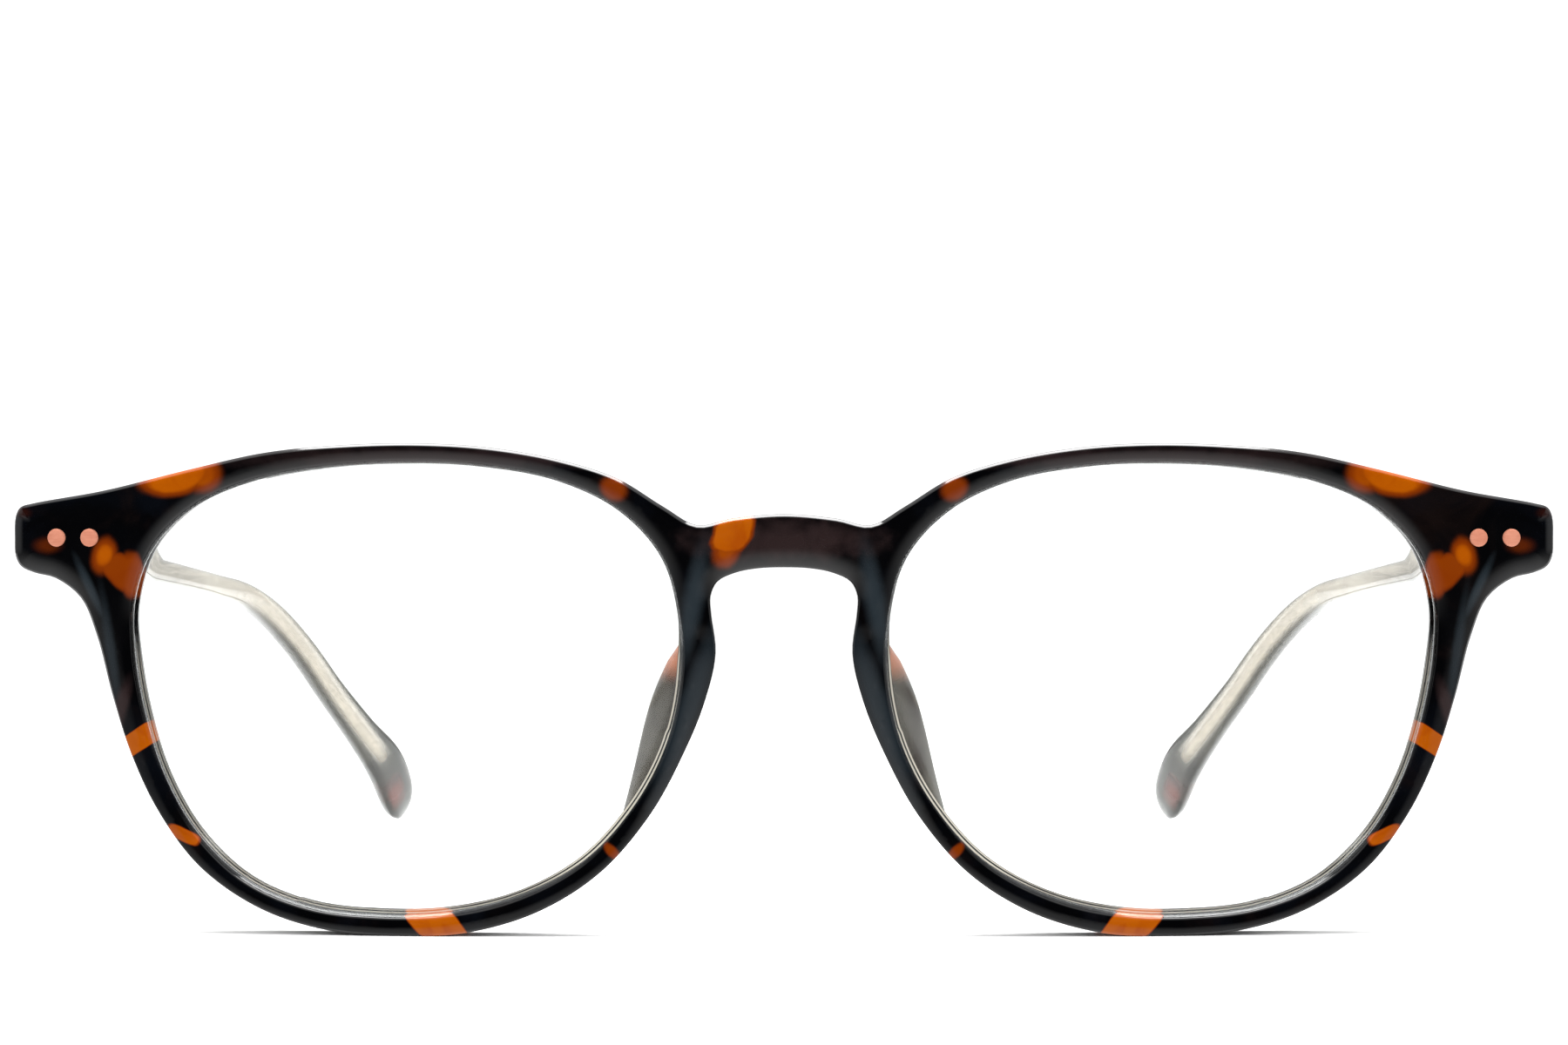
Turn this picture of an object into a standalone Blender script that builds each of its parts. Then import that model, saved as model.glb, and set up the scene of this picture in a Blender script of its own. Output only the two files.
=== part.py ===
"""Glasses: an acetate front with clear lenses, barrel hinges and clear temples on a core wire.

+Z is up, +Y runs back along the temples and +X is the wearer's left. The glasses stand open on their
two rims and their two temple tips. Lengths are in millimetres up to the meshes, which are in metres.
The front is drawn flat, with y = 0 on its front face, and is then wrapped round a large cylinder.
"""
import math

import bpy
import bmesh
from mathutils import Matrix, Vector

MM = 0.001

# Front
WRAP_RADIUS = 400.0
WRAP_STRIP = 10.0                # widest flat strip of the wrapped surfaces
FRONT_THICKNESS = 4.0
FRONT_EDGE_ROUND = 0.6
OUTLINE_STEP = 3.0
ORIGIN_TO_FRONT = 71.35          # from the middle of the open glasses to the front of the bridge

# Half of the front's outline, from the top of the bridge out to the end piece and back under the rim
HALF_OUTLINE = [
    (4.7, 37.6), (7.8, 37.0), (10.9, 38.7), (15.0, 41.2), (20.3, 42.9), (26.6, 44.0), (33.0, 44.4),
    (40.0, 44.25), (47.0, 43.6), (54.0, 42.1), (62.0, 40.2), (68.7, 39.05), (69.9, 38.7), (70.4, 37.9),
    (70.5, 35.8), (70.4, 34.2), (69.9, 33.3), (68.6, 32.7), (66.6, 32.2), (64.2, 30.4), (62.7, 27.0),
    (61.2, 21.6), (59.4, 16.3), (56.8, 11.0), (52.9, 6.0), (47.3, 2.3), (40.9, 0.4), (34.0, 0.0),
    (28.2, 0.4), (22.0, 2.3), (16.5, 5.8), (12.0, 11.0), (9.0, 16.5), (7.1, 21.2), (6.15, 25.5),
    (6.55, 29.0), (6.6, 30.6), (6.0, 31.9), (4.4, 32.7), (2.4, 33.1),
]
BRIDGE_TOP = (0.0, 38.0)
BRIDGE_BOTTOM = (0.0, 33.2)
LENS_OPENING = [
    (34.0, 42.6), (27.5, 42.3), (20.5, 41.0), (14.9, 38.3), (11.0, 34.0), (9.4, 28.0), (9.4, 22.5),
    (10.7, 17.0), (13.6, 11.6), (18.0, 6.8), (24.0, 3.6), (30.4, 2.1), (37.0, 1.9), (43.0, 2.6),
    (48.7, 4.9), (53.2, 9.0), (56.3, 14.2), (58.2, 20.0), (59.2, 26.0), (59.1, 30.5), (57.4, 35.0),
    (53.7, 38.6), (48.5, 40.9), (41.5, 42.2),
]

# Lens, and the groove that holds it
LENS_CENTRE = (34.0, 22.3)
LENS_GROW = 0.6
LENS_EDGE = 1.3
LENS_MIDDLE = 1.8
LENS_DOME = 1.6
LENS_DEPTH = 1.9
GROOVE_GROW = 0.9
GROOVE_WIDTH = 1.6
LENS_RINGS = (1.0, 0.8, 0.55, 0.3)

# Rivets through the end pieces
RIVET_X = {"inner": 63.3, "outer": 66.4}
RIVET_Z = 35.9
RIVET_HEAD_RADIUS = 0.82
RIVET_HEAD_LENGTH = 0.7
RIVET_SHANK_RADIUS = 0.5
RIVET_LENGTH = 3.6
RUNNING_GAP = 0.05

# Hinges
HINGE_AXIS = (64.9, 11.0)
KNUCKLE_RADIUS = 1.2
KNUCKLE_HEIGHT = 0.9
KNUCKLE_GAP = 0.06
KNUCKLES_FROM = 33.65
SCREW_RADIUS = 0.55
FRONT_LEAF = {"x": (60.9, 67.6), "z": (33.65, 38.15), "thickness": 0.95}
TEMPLE_LEAF = {"x": (66.12, 66.95), "y": (10.3, 17.1), "z": (34.35, 37.45)}
LEAF_CORNER = 0.6

# Temple: depth y, offset x, height z, thickness, height of the section, twist in degrees
TEMPLE_STATIONS = [
    (9.6, 68.3, 35.6, 4.0, 5.4, 0.0),
    (28.0, 67.4, 34.4, 3.4, 3.9, 0.0),
    (48.0, 66.2, 32.8, 2.8, 2.7, 0.0),
    (66.0, 65.2, 31.6, 2.6, 2.4, 0.0),
    (82.0, 64.4, 30.5, 2.5, 2.4, 4.0),
    (95.0, 63.1, 29.2, 2.4, 2.6, 10.0),
    (103.5, 61.1, 26.6, 2.4, 2.9, 18.0),
    (111.0, 58.6, 22.4, 2.4, 3.1, 25.0),
    (119.0, 56.0, 16.9, 2.4, 3.4, 30.0),
    (126.3, 53.5, 12.0, 2.4, 4.0, 33.0),
    (132.5, 51.5, 8.0, 2.4, 5.1, 35.0),
    (138.0, 50.7, 4.3, 2.3, 5.1, 35.0),
    (140.6, 50.6, 2.5, 2.1, 4.1, 35.0),
    (142.0, 50.6, 1.5, 1.4, 2.4, 35.0),
]
TEMPLE_BUTT_GAP = 0.1
TEMPLE_CORNER = 0.3              # share of the smaller side that a section's corner takes
RINGS_PER_SPAN = 2
CORE_WIRE = {"height": 1.3, "thickness": 0.9, "from_y": 15.4, "to_y": 131.0, "gap": 0.07}
CORE_WIRE_SHIFT = 0.5            # towards the hinge leaf at the front, none past the fade
CORE_WIRE_FADE = 40.0
TIP_INLAY = {"at_y": 136.8, "length": 4.0, "height": 2.2, "depth": 0.7, "gap": 0.08}

INLAY_CORNER = 0.8

# Nose pads: height z, nose side x at the rim, outer side x at the rim, depth behind the rim, flare
NOSE_PAD_SECTIONS = [
    (9.9, 13.3, 14.9, 1.2, 0.6),
    (12.0, 12.0, 13.7, 3.0, 1.6),
    (14.8, 10.4, 12.2, 4.5, 2.5),
    (18.0, 9.0, 10.9, 5.3, 3.0),
    (21.5, 7.9, 9.9, 5.3, 2.8),
    (24.6, 7.2, 9.2, 4.2, 2.0),
    (26.8, 7.1, 8.9, 2.2, 1.0),
    (27.7, 7.3, 8.6, 0.9, 0.5),
]
PAD_BOND_GAP = 0.05


def clear_scene():
    for item in list(bpy.data.objects):
        bpy.data.objects.remove(item, do_unlink=True)


def new_collection(name):
    collection = bpy.data.collections.new(name)
    bpy.context.scene.collection.children.link(collection)
    return collection


def new_material(name, colour, roughness, metallic=0.0, alpha=1.0):
    material = bpy.data.materials.new(name)
    material.use_nodes = True
    shader = material.node_tree.nodes["Principled BSDF"]
    shader.inputs["Base Color"].default_value = (*colour, 1.0)
    shader.inputs["Roughness"].default_value = roughness
    shader.inputs["Metallic"].default_value = metallic
    shader.inputs["Alpha"].default_value = alpha
    return material


def sag(x):
    """How far the wrapped front lies behind the flat one at x."""
    return WRAP_RADIUS - math.sqrt(WRAP_RADIUS ** 2 - x ** 2)


def wrap(mesh):
    """Bend a mesh in metres that was drawn flat round the front's cylinder, in narrow strips."""
    shape = bmesh.new()
    shape.from_mesh(mesh)
    lowest = min(vertex.co.x for vertex in shape.verts) / MM
    highest = max(vertex.co.x for vertex in shape.verts) / MM
    for strip in range(math.ceil(lowest / WRAP_STRIP), math.ceil(highest / WRAP_STRIP)):
        everything = shape.verts[:] + shape.edges[:] + shape.faces[:]
        bmesh.ops.bisect_plane(shape, geom=everything, plane_no=(1.0, 0.0, 0.0),
                               plane_co=(strip * WRAP_STRIP * MM, 0.0, 0.0))
    for vertex in shape.verts:
        vertex.co.y += sag(vertex.co.x / MM) * MM
    shape.to_mesh(mesh)
    shape.free()


def on_side(mesh, side):
    """Turn a mesh drawn for the wearer's left (+X) into the one for this side."""
    if side < 0:
        mesh.transform(Matrix.Scale(-1.0, 4, (1.0, 0.0, 0.0)))
        mesh.flip_normals()


def curve_point(points, index, t):
    """A point on the centripetal Catmull-Rom curve from points[index] to the next one."""
    p0, p1, p2, p3 = (Vector(points[(index + k) % len(points)]) for k in (-1, 0, 1, 2))
    t1 = math.sqrt((p1 - p0).length)
    t2 = t1 + math.sqrt((p2 - p1).length)
    t3 = t2 + math.sqrt((p3 - p2).length)
    at = t1 + (t2 - t1) * t
    a1 = p0 * (t1 - at) / t1 + p1 * at / t1
    a2 = p1 * (t2 - at) / (t2 - t1) + p2 * (at - t1) / (t2 - t1)
    a3 = p2 * (t3 - at) / (t3 - t2) + p3 * (at - t2) / (t3 - t2)
    b1 = a1 * (t2 - at) / t2 + a2 * at / t2
    b2 = a2 * (t3 - at) / (t3 - t1) + a3 * (at - t1) / (t3 - t1)
    return b1 * (t2 - at) / (t2 - t1) + b2 * (at - t1) / (t2 - t1)


def smooth_loop(points, step):
    """A closed loop through the points, with a vertex about every step."""
    loop = []
    for index, point in enumerate(points):
        length = (Vector(points[(index + 1) % len(points)]) - Vector(point)).length
        count = max(1, round(length / step))
        loop += [curve_point(points, index, k / count) for k in range(count)]
    return loop


def grow(loop, amount):
    """Move every point of an anticlockwise loop outwards."""
    grown = []
    for index, point in enumerate(loop):
        along = loop[(index + 1) % len(loop)] - loop[index - 1]
        outwards = Vector((along.y, -along.x)).normalized()
        grown.append(point + outwards * amount)
    return grown


def new_object(name, mesh, collection, material=None):
    piece = bpy.data.objects.new(name, mesh)
    collection.objects.link(piece)
    if material:
        mesh.materials.append(material)
    return piece


def new_cutter(name, mesh, cutters):
    cutter = new_object(name, mesh, cutters)
    cutter.hide_render = True
    cutter.display_type = "WIRE"
    return cutter


def boolean(piece, cutter, operation="DIFFERENCE"):
    modifier = piece.modifiers.new(cutter.name, "BOOLEAN")
    modifier.operation = operation
    modifier.object = cutter


def mesh_from(name, build):
    """A mesh in metres from a function that fills a bmesh in millimetres."""
    mesh = bpy.data.meshes.new(name)
    shape = bmesh.new()
    build(shape)
    bmesh.ops.recalc_face_normals(shape, faces=shape.faces)
    bmesh.ops.scale(shape, vec=(MM, MM, MM), verts=shape.verts)
    shape.to_mesh(mesh)
    shape.free()
    return mesh


def plate_mesh(name, loops, y_front, y_back, edge_round=0.0):
    """A flat outline in X and Z, with any holes, made solid between two depths."""
    curve = bpy.data.curves.new(name, "CURVE")
    curve.dimensions = "2D"
    curve.fill_mode = "BOTH"
    curve.extrude = ((y_back - y_front) / 2 - edge_round) * MM
    curve.bevel_depth = edge_round * MM
    curve.bevel_resolution = 0
    curve.offset = -edge_round * MM
    for loop in loops:
        spline = curve.splines.new("POLY")
        spline.points.add(len(loop) - 1)
        for spline_point, point in zip(spline.points, loop):
            spline_point.co = (point.x * MM, point.y * MM, 0.0, 1.0)
        spline.use_cyclic_u = True
    drawing = bpy.data.objects.new(name, curve)
    bpy.context.scene.collection.objects.link(drawing)
    evaluated = drawing.evaluated_get(bpy.context.evaluated_depsgraph_get())
    mesh = bpy.data.meshes.new_from_object(evaluated)
    bpy.data.objects.remove(drawing, do_unlink=True)
    bpy.data.curves.remove(curve)
    shape = bmesh.new()
    shape.from_mesh(mesh)
    bmesh.ops.remove_doubles(shape, verts=shape.verts, dist=0.01 * MM)
    bmesh.ops.recalc_face_normals(shape, faces=shape.faces)
    caps = [face for face in shape.faces if abs(face.normal.z) > 0.99]
    cap_edges = list({edge for face in caps for edge in face.edges})
    bmesh.ops.beautify_fill(shape, faces=caps, edges=cap_edges)
    shape.to_mesh(mesh)
    shape.free()
    middle = Vector((0.0, (y_front + y_back) / 2 * MM, 0.0))
    mesh.transform(Matrix.Translation(middle) @ Matrix.Rotation(math.pi / 2, 4, "X"))
    mesh.name = name
    return mesh


def box_mesh(name, x, y, z, corner=0.0, corner_axis="Y"):
    """A box between limits, with its four edges along one axis rounded if a corner is given."""
    def build(shape):
        bmesh.ops.create_cube(shape, size=1.0)
        for vertex in shape.verts:
            for axis, (low, high) in enumerate((x, y, z)):
                vertex.co[axis] = low if vertex.co[axis] < 0 else high
        if corner:
            axis = "XYZ".index(corner_axis)
            edges = [edge for edge in shape.edges
                     if abs(edge.verts[0].co[axis] - edge.verts[1].co[axis]) > 0.001]
            bmesh.ops.bevel(shape, geom=edges, offset=corner, segments=3, profile=0.5,
                            affect="EDGES")
    return mesh_from(name, build)


def rod_mesh(name, sections, sides=16, axis="Y"):
    """Steps of (from, to, radius) along one axis through the origin, as one turned solid."""
    def build(shape):
        rings = []
        for start, end, radius in sections:
            for at in (start, end):
                rings.append([(radius * math.cos(2 * math.pi * k / sides), at,
                               radius * math.sin(2 * math.pi * k / sides)) for k in range(sides)])
        fill_loft(shape, rings)
        if axis == "Z":
            bmesh.ops.rotate(shape, verts=shape.verts, matrix=Matrix.Rotation(math.pi / 2, 3, "X"))
    return mesh_from(name, build)


def fill_loft(shape, rings):
    """Skin a list of rings of the same length and close both ends."""
    built = [[shape.verts.new(point) for point in ring] for ring in rings]
    for lower, upper in zip(built, built[1:]):
        for k in range(len(lower)):
            after = (k + 1) % len(lower)
            shape.faces.new((lower[k], lower[after], upper[after], upper[k]))
    shape.faces.new(built[0])
    shape.faces.new(list(reversed(built[-1])))


def shade(piece, angle=35.0):
    piece.data.shade_smooth()
    piece.data.set_sharp_from_angle(angle=math.radians(angle))


# Front, lenses and nose pads

def outline_points():
    mirrored = [(-x, z) for x, z in reversed(HALF_OUTLINE)]
    clockwise = [BRIDGE_TOP] + HALF_OUTLINE + [BRIDGE_BOTTOM] + mirrored
    return list(reversed(clockwise))


def opening_loop(side, amount=0.0):
    loop = grow(smooth_loop(LENS_OPENING, OUTLINE_STEP), amount)
    if side < 0:
        loop = [Vector((-point.x, point.y)) for point in reversed(loop)]
    return loop


def make_front(parts, cutters, material):
    loops = [smooth_loop(outline_points(), OUTLINE_STEP), opening_loop(1), opening_loop(-1)]
    mesh = plate_mesh("front_frame", loops, 0.0, FRONT_THICKNESS, FRONT_EDGE_ROUND)
    wrap(mesh)
    front = new_object("front_frame", mesh, parts, material)
    for side, name in ((1, "left"), (-1, "right")):
        for cutter_mesh in front_cutters(side, name):
            wrap(cutter_mesh)
            boolean(front, new_cutter(cutter_mesh.name, cutter_mesh, cutters))
    return front


def front_cutters(side, name):
    """The lens groove, the hinge pocket and the rivet holes of one side, drawn flat."""
    groove_from = LENS_DEPTH - GROOVE_WIDTH / 2
    groove = plate_mesh(name + "_groove_cutter",
                        [opening_loop(side, GROOVE_GROW), opening_loop(side, -GROOVE_GROW)],
                        groove_from, groove_from + GROOVE_WIDTH)
    pocket = leaf_mesh(name + "_pocket_cutter", 2 * RUNNING_GAP, FRONT_THICKNESS + 1.0)
    on_side(pocket, side)
    holes = []
    for place, x in RIVET_X.items():
        hole = rod_mesh(name + "_" + place + "_hole_cutter", [
            (-1.0, RIVET_HEAD_LENGTH + RUNNING_GAP, RIVET_HEAD_RADIUS + RUNNING_GAP),
            (RIVET_HEAD_LENGTH + RUNNING_GAP, FRONT_THICKNESS, RIVET_SHANK_RADIUS + RUNNING_GAP),
        ])
        hole.transform(Matrix.Translation(Vector((x, 0.0, RIVET_Z)) * MM))
        on_side(hole, side)
        holes.append(hole)
    return [groove, pocket] + holes


def leaf_mesh(name, grow_by, y_back):
    """The front hinge leaf's outline, sunk from the back of the front, drawn flat."""
    y_front = FRONT_THICKNESS - FRONT_LEAF["thickness"] - RUNNING_GAP - grow_by
    x = (FRONT_LEAF["x"][0] - grow_by, FRONT_LEAF["x"][1] + grow_by)
    z = (FRONT_LEAF["z"][0] - grow_by, FRONT_LEAF["z"][1] + grow_by)
    return box_mesh(name, x, (y_front, y_back), z, LEAF_CORNER + grow_by)


def make_lens(side, name, parts, material):
    """A dome on the lens outline: rings that shrink towards the middle, front and back."""
    edge = opening_loop(side, LENS_GROW)
    centre = Vector((side * LENS_CENTRE[0], LENS_CENTRE[1]))

    def ring(share, depth):
        points = [centre + (point - centre) * share for point in edge]
        return [(point.x, depth, point.y) for point in points]

    def build(shape):
        front_at = LENS_DEPTH - LENS_EDGE / 2
        rings = []
        for share in reversed(LENS_RINGS):
            rings.append(ring(share, front_at - LENS_DOME * (1 - share ** 2)))
        for share in LENS_RINGS:
            thickness = LENS_EDGE + (LENS_MIDDLE - LENS_EDGE) * (1 - share ** 2)
            rings.append(ring(share, front_at - LENS_DOME * (1 - share ** 2) + thickness))
        fill_loft(shape, rings)
        bmesh.ops.poke(shape, faces=[face for face in shape.faces if len(face.verts) > 4])

    mesh = mesh_from(name, build)
    wrap(mesh)
    lens = new_object(name, mesh, parts, material)
    shade(lens)
    return lens


def make_nose_pad(side, name, parts, material):
    """A half-moon pad: plan sections at rising heights, each flaring out behind the rim."""
    def build(shape):
        rings = []
        for z, inner, outer, depth, flare in NOSE_PAD_SECTIONS:
            front = FRONT_THICKNESS + PAD_BOND_GAP
            back = front + depth
            tip = (inner + outer) / 2 + flare
            width = (outer - inner) / 2
            plan = [
                (inner, front), (outer, front), (outer + flare * 0.45, front + depth * 0.4),
                (tip + width * 0.8, front + depth * 0.8), (tip + width * 0.3, back),
                (tip - width * 0.4, back), (tip - width * 0.95, front + depth * 0.75),
                (inner + flare * 0.3, front + depth * 0.4),
            ]
            rings.append([(x, y, z) for x, y in plan])
        fill_loft(shape, rings)

    mesh = mesh_from(name, build)
    wrap(mesh)
    on_side(mesh, side)
    pad = new_object(name, mesh, parts, material)
    shade(pad, 60.0)
    return pad


# Rivets and hinges

def make_rivet(side, name, x, parts, material):
    mesh = rod_mesh(name, [(0.0, RIVET_HEAD_LENGTH, RIVET_HEAD_RADIUS),
                           (RIVET_HEAD_LENGTH, RIVET_LENGTH, RIVET_SHANK_RADIUS)])
    mesh.transform(Matrix.Translation(Vector((x, 0.0, RIVET_Z)) * MM))
    wrap(mesh)
    on_side(mesh, side)
    rivet = new_object(name, mesh, parts, material)
    shade(rivet)
    return rivet


def knuckle_profile(web_length, steps=12):
    """A knuckle round the axis with a tangent web that runs towards -Y."""
    profile = [(-KNUCKLE_RADIUS, -web_length), (0.0, -web_length)]
    for k in range(steps + 1):
        angle = math.radians(-90.0 + 270.0 * k / steps)
        profile.append((KNUCKLE_RADIUS * math.cos(angle), KNUCKLE_RADIUS * math.sin(angle)))
    return profile


def knuckles_mesh(name, profile, slots):
    """The profile raised through each of the numbered knuckle slots."""
    def build(shape):
        for slot in slots:
            low = KNUCKLES_FROM + slot * KNUCKLE_HEIGHT + KNUCKLE_GAP / 2
            high = low + KNUCKLE_HEIGHT - KNUCKLE_GAP
            rings = [[(HINGE_AXIS[0] + x, HINGE_AXIS[1] + y, z) for x, y in profile]
                     for z in (low, high)]
            fill_loft(shape, rings)
    return mesh_from(name, build)


def pin_hole_mesh(name):
    mesh = rod_mesh(name, [(25.0, 45.0, SCREW_RADIUS + RUNNING_GAP)], axis="Z")
    mesh.transform(Matrix.Translation(Vector((HINGE_AXIS[0], HINGE_AXIS[1], 0.0)) * MM))
    return mesh


def make_hinge(side, name, parts, cutters, material, leaf, profile, slots):
    """A leaf joined to its knuckles, with the hole for the hinge screw."""
    knuckles = knuckles_mesh(name + "_knuckles", profile, slots)
    hole = pin_hole_mesh(name + "_pin_hole_cutter")
    for mesh in (leaf, knuckles, hole):
        on_side(mesh, side)
    hinge = new_object(name, leaf, parts, material)
    boolean(hinge, new_cutter(knuckles.name, knuckles, cutters), "UNION")
    boolean(hinge, new_cutter(hole.name, hole, cutters))
    return hinge


def make_front_hinge(side, name, parts, cutters, material):
    leaf = leaf_mesh(name, 0.0, FRONT_THICKNESS - RUNNING_GAP)
    wrap(leaf)
    hinge = make_hinge(side, name, parts, cutters, material, leaf, knuckle_profile(2.35), (0, 2, 4))
    for place, x in RIVET_X.items():
        hole = rod_mesh(name + "_" + place + "_rivet_cutter",
                        [(0.0, RIVET_LENGTH + RUNNING_GAP, RIVET_SHANK_RADIUS + RUNNING_GAP)])
        hole.transform(Matrix.Translation(Vector((x, 0.0, RIVET_Z)) * MM))
        wrap(hole)
        on_side(hole, side)
        boolean(hinge, new_cutter(hole.name, hole, cutters))
    return hinge


def make_temple_hinge(side, name, parts, cutters, material):
    leaf = box_mesh(name, TEMPLE_LEAF["x"], TEMPLE_LEAF["y"], TEMPLE_LEAF["z"], LEAF_CORNER, "X")
    web = TEMPLE_LEAF["x"][0] - HINGE_AXIS[0] + 0.3
    profile = [(-y, -x) for x, y in reversed(knuckle_profile(web))]
    return make_hinge(side, name, parts, cutters, material, leaf, profile, (1, 3))


def make_hinge_screw(side, name, parts, cutters, material):
    """A slotted screw whose plain shank is the hinge pin."""
    top = KNUCKLES_FROM + 5 * KNUCKLE_HEIGHT
    mesh = rod_mesh(name, [(KNUCKLES_FROM, top + 0.05, SCREW_RADIUS), (top + 0.05, top + 0.55, 0.95)],
                    axis="Z")
    slot = box_mesh(name + "_slot_cutter", (-1.2, 1.2), (-0.15, 0.15), (top + 0.3, top + 1.0))
    for item in (mesh, slot):
        item.transform(Matrix.Translation(Vector((HINGE_AXIS[0], HINGE_AXIS[1], 0.0)) * MM))
        on_side(item, side)
    screw = new_object(name, mesh, parts, material)
    boolean(screw, new_cutter(slot.name, slot, cutters))
    return screw


# Temples

def temple_frame(span, t):
    """Centre, tangent, outward and upward directions, thickness and height of a temple section."""
    last = len(TEMPLE_STATIONS) - 1
    values = []
    for column in range(6):
        p0 = TEMPLE_STATIONS[max(span - 1, 0)][column]
        p1 = TEMPLE_STATIONS[span][column]
        p2 = TEMPLE_STATIONS[min(span + 1, last)][column]
        p3 = TEMPLE_STATIONS[min(span + 2, last)][column]
        values.append((p0, p1, p2, p3))
    y0, y1, y2, y3 = values[0]
    length = y2 - y1

    def at(column):
        p0, p1, p2, p3 = values[column]
        start = (p2 - p0) / (y2 - y0)
        end = (p3 - p1) / (y3 - y1)
        h00 = 2 * t ** 3 - 3 * t ** 2 + 1
        h10 = t ** 3 - 2 * t ** 2 + t
        h01 = -2 * t ** 3 + 3 * t ** 2
        h11 = t ** 3 - t ** 2
        return h00 * p1 + h10 * length * start + h01 * p2 + h11 * length * end

    return y1 + length * t, at(1), at(2), at(3), at(4), at(5)


def temple_section(y):
    """Place and size of the temple's section at depth y."""
    span = 0
    while span < len(TEMPLE_STATIONS) - 2 and TEMPLE_STATIONS[span + 1][0] <= y:
        span += 1
    start, end = TEMPLE_STATIONS[span][0], TEMPLE_STATIONS[span + 1][0]
    return temple_frame(span, (y - start) / (end - start))


def temple_axes(y):
    """Centre of the section at depth y with its outward and upward directions."""
    step = 0.2
    here, before, after = (Vector((s[1], s[0], s[2])) for s in
                           (temple_section(y), temple_section(y - step), temple_section(y + step)))
    along = (after - before).normalized()
    outward = (Vector((1.0, 0.0, 0.0)) - along * along.x).normalized()
    upward = outward.cross(along)
    twist = math.radians(temple_section(y)[5])
    turned_out = outward * math.cos(twist) + upward * math.sin(twist)
    turned_up = upward * math.cos(twist) - outward * math.sin(twist)
    return here, along, turned_out, turned_up


def rounded_section(thickness, height, corner):
    """Twelve points round a rectangle with rounded corners, as (outward, upward) offsets."""
    points = []
    for quarter in range(4):
        sign_x = 1 if quarter in (0, 3) else -1
        sign_z = 1 if quarter in (0, 1) else -1
        for k in range(3):
            angle = math.pi / 2 * (quarter + k / 2)
            points.append((sign_x * (thickness / 2 - corner) + corner * math.cos(angle),
                           sign_z * (height / 2 - corner) + corner * math.sin(angle)))
    return points


def section_ring(y, thickness, height, corner, shift=0.0):
    centre, _, outward, upward = temple_axes(y)
    return [centre + outward * (a - shift) + upward * b
            for a, b in rounded_section(thickness, height, corner)]


def station_depths():
    depths = []
    for (start, *_), (end, *_) in zip(TEMPLE_STATIONS, TEMPLE_STATIONS[1:]):
        count = RINGS_PER_SPAN if end - start > 3.0 else 1
        depths += [start + (end - start) * k / count for k in range(count)]
    return depths + [TEMPLE_STATIONS[-1][0]]


def temple_mesh(name):
    def build(shape):
        rings = []
        for y in station_depths():
            _, _, _, thickness, height, _ = temple_section(y)
            rings.append(section_ring(y, thickness, height, TEMPLE_CORNER * min(thickness, height)))
        # The front end is cut to the back of the wrapped end piece
        rings[0] = [Vector((p.x, sag(p.x) + FRONT_THICKNESS + TEMPLE_BUTT_GAP, p.z)) for p in rings[0]]
        fill_loft(shape, rings)
    return mesh_from(name, build)


def wire_mesh(name, start, end, grow_by):
    def build(shape):
        rings = []
        depths = [start] + [y for y in station_depths() if start + 1.0 < y < end - 1.0] + [end]
        for y in depths:
            shift = CORE_WIRE_SHIFT * max(0.0, 1.0 - y / CORE_WIRE_FADE)
            thickness = CORE_WIRE["thickness"] + grow_by * 2
            height = CORE_WIRE["height"] + grow_by * 2
            rings.append(section_ring(y, thickness, height, 0.35 * thickness, shift))
        fill_loft(shape, rings)
    return mesh_from(name, build)


def inlay_mesh(name, grow_by, stand_proud):
    """A rounded plate set into the outer face of the temple's tip."""
    centre, along, outward, upward = temple_axes(TIP_INLAY["at_y"])
    thickness = temple_section(TIP_INLAY["at_y"])[3]
    half_length = TIP_INLAY["length"] / 2 + grow_by
    half_height = TIP_INLAY["height"] / 2 + grow_by
    floor = thickness / 2 - TIP_INLAY["depth"] - grow_by
    mesh = box_mesh(name, (floor, thickness / 2 + stand_proud), (-half_length, half_length),
                    (-half_height, half_height), INLAY_CORNER, "X")
    turn = Matrix((outward, along, upward)).transposed().to_4x4()
    mesh.transform(Matrix.Translation(centre * MM) @ turn)
    return mesh


def make_temple(side, name, parts, cutters, material):
    mesh = temple_mesh(name)
    gap = 2 * RUNNING_GAP
    x, y, z = (TEMPLE_LEAF[axis] for axis in "xyz")
    pocket = box_mesh(name + "_leaf_pocket_cutter", (x[0] - 1.5, x[1] + gap), (y[0] - 1.5, y[1] + gap),
                      (z[0] - gap, z[1] + gap))
    start = CORE_WIRE["from_y"] - 0.3
    entry = box_mesh(name + "_wire_entry_cutter", (x[0] - 1.5, 68.0), (start, y[1] + gap), (34.6, 36.2))
    channel = wire_mesh(name + "_wire_channel_cutter", start + 0.3, CORE_WIRE["to_y"] + 0.3,
                        CORE_WIRE["gap"])
    inlay = inlay_mesh(name + "_inlay_cutter", TIP_INLAY["gap"], 1.5)
    for item in (mesh, pocket, entry, channel, inlay):
        on_side(item, side)
    temple = new_object(name, mesh, parts, material)
    for cutter_mesh in (pocket, entry, channel, inlay):
        boolean(temple, new_cutter(cutter_mesh.name, cutter_mesh, cutters))
    return temple


def make_core_wire(side, name, parts, material):
    mesh = wire_mesh(name, CORE_WIRE["from_y"] + 0.3, CORE_WIRE["to_y"], 0.0)
    on_side(mesh, side)
    wire = new_object(name, mesh, parts, material)
    shade(wire)
    return wire


def make_tip_inlay(side, name, parts, material):
    mesh = inlay_mesh(name, 0.0, -0.02)
    on_side(mesh, side)
    return new_object(name, mesh, parts, material)


def pivot_empty(name, parts, place, parent=None):
    empty = bpy.data.objects.new(name, None)
    empty.empty_display_size = 0.01
    parts.objects.link(empty)
    empty.location = place
    empty.parent = parent
    return empty


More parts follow.
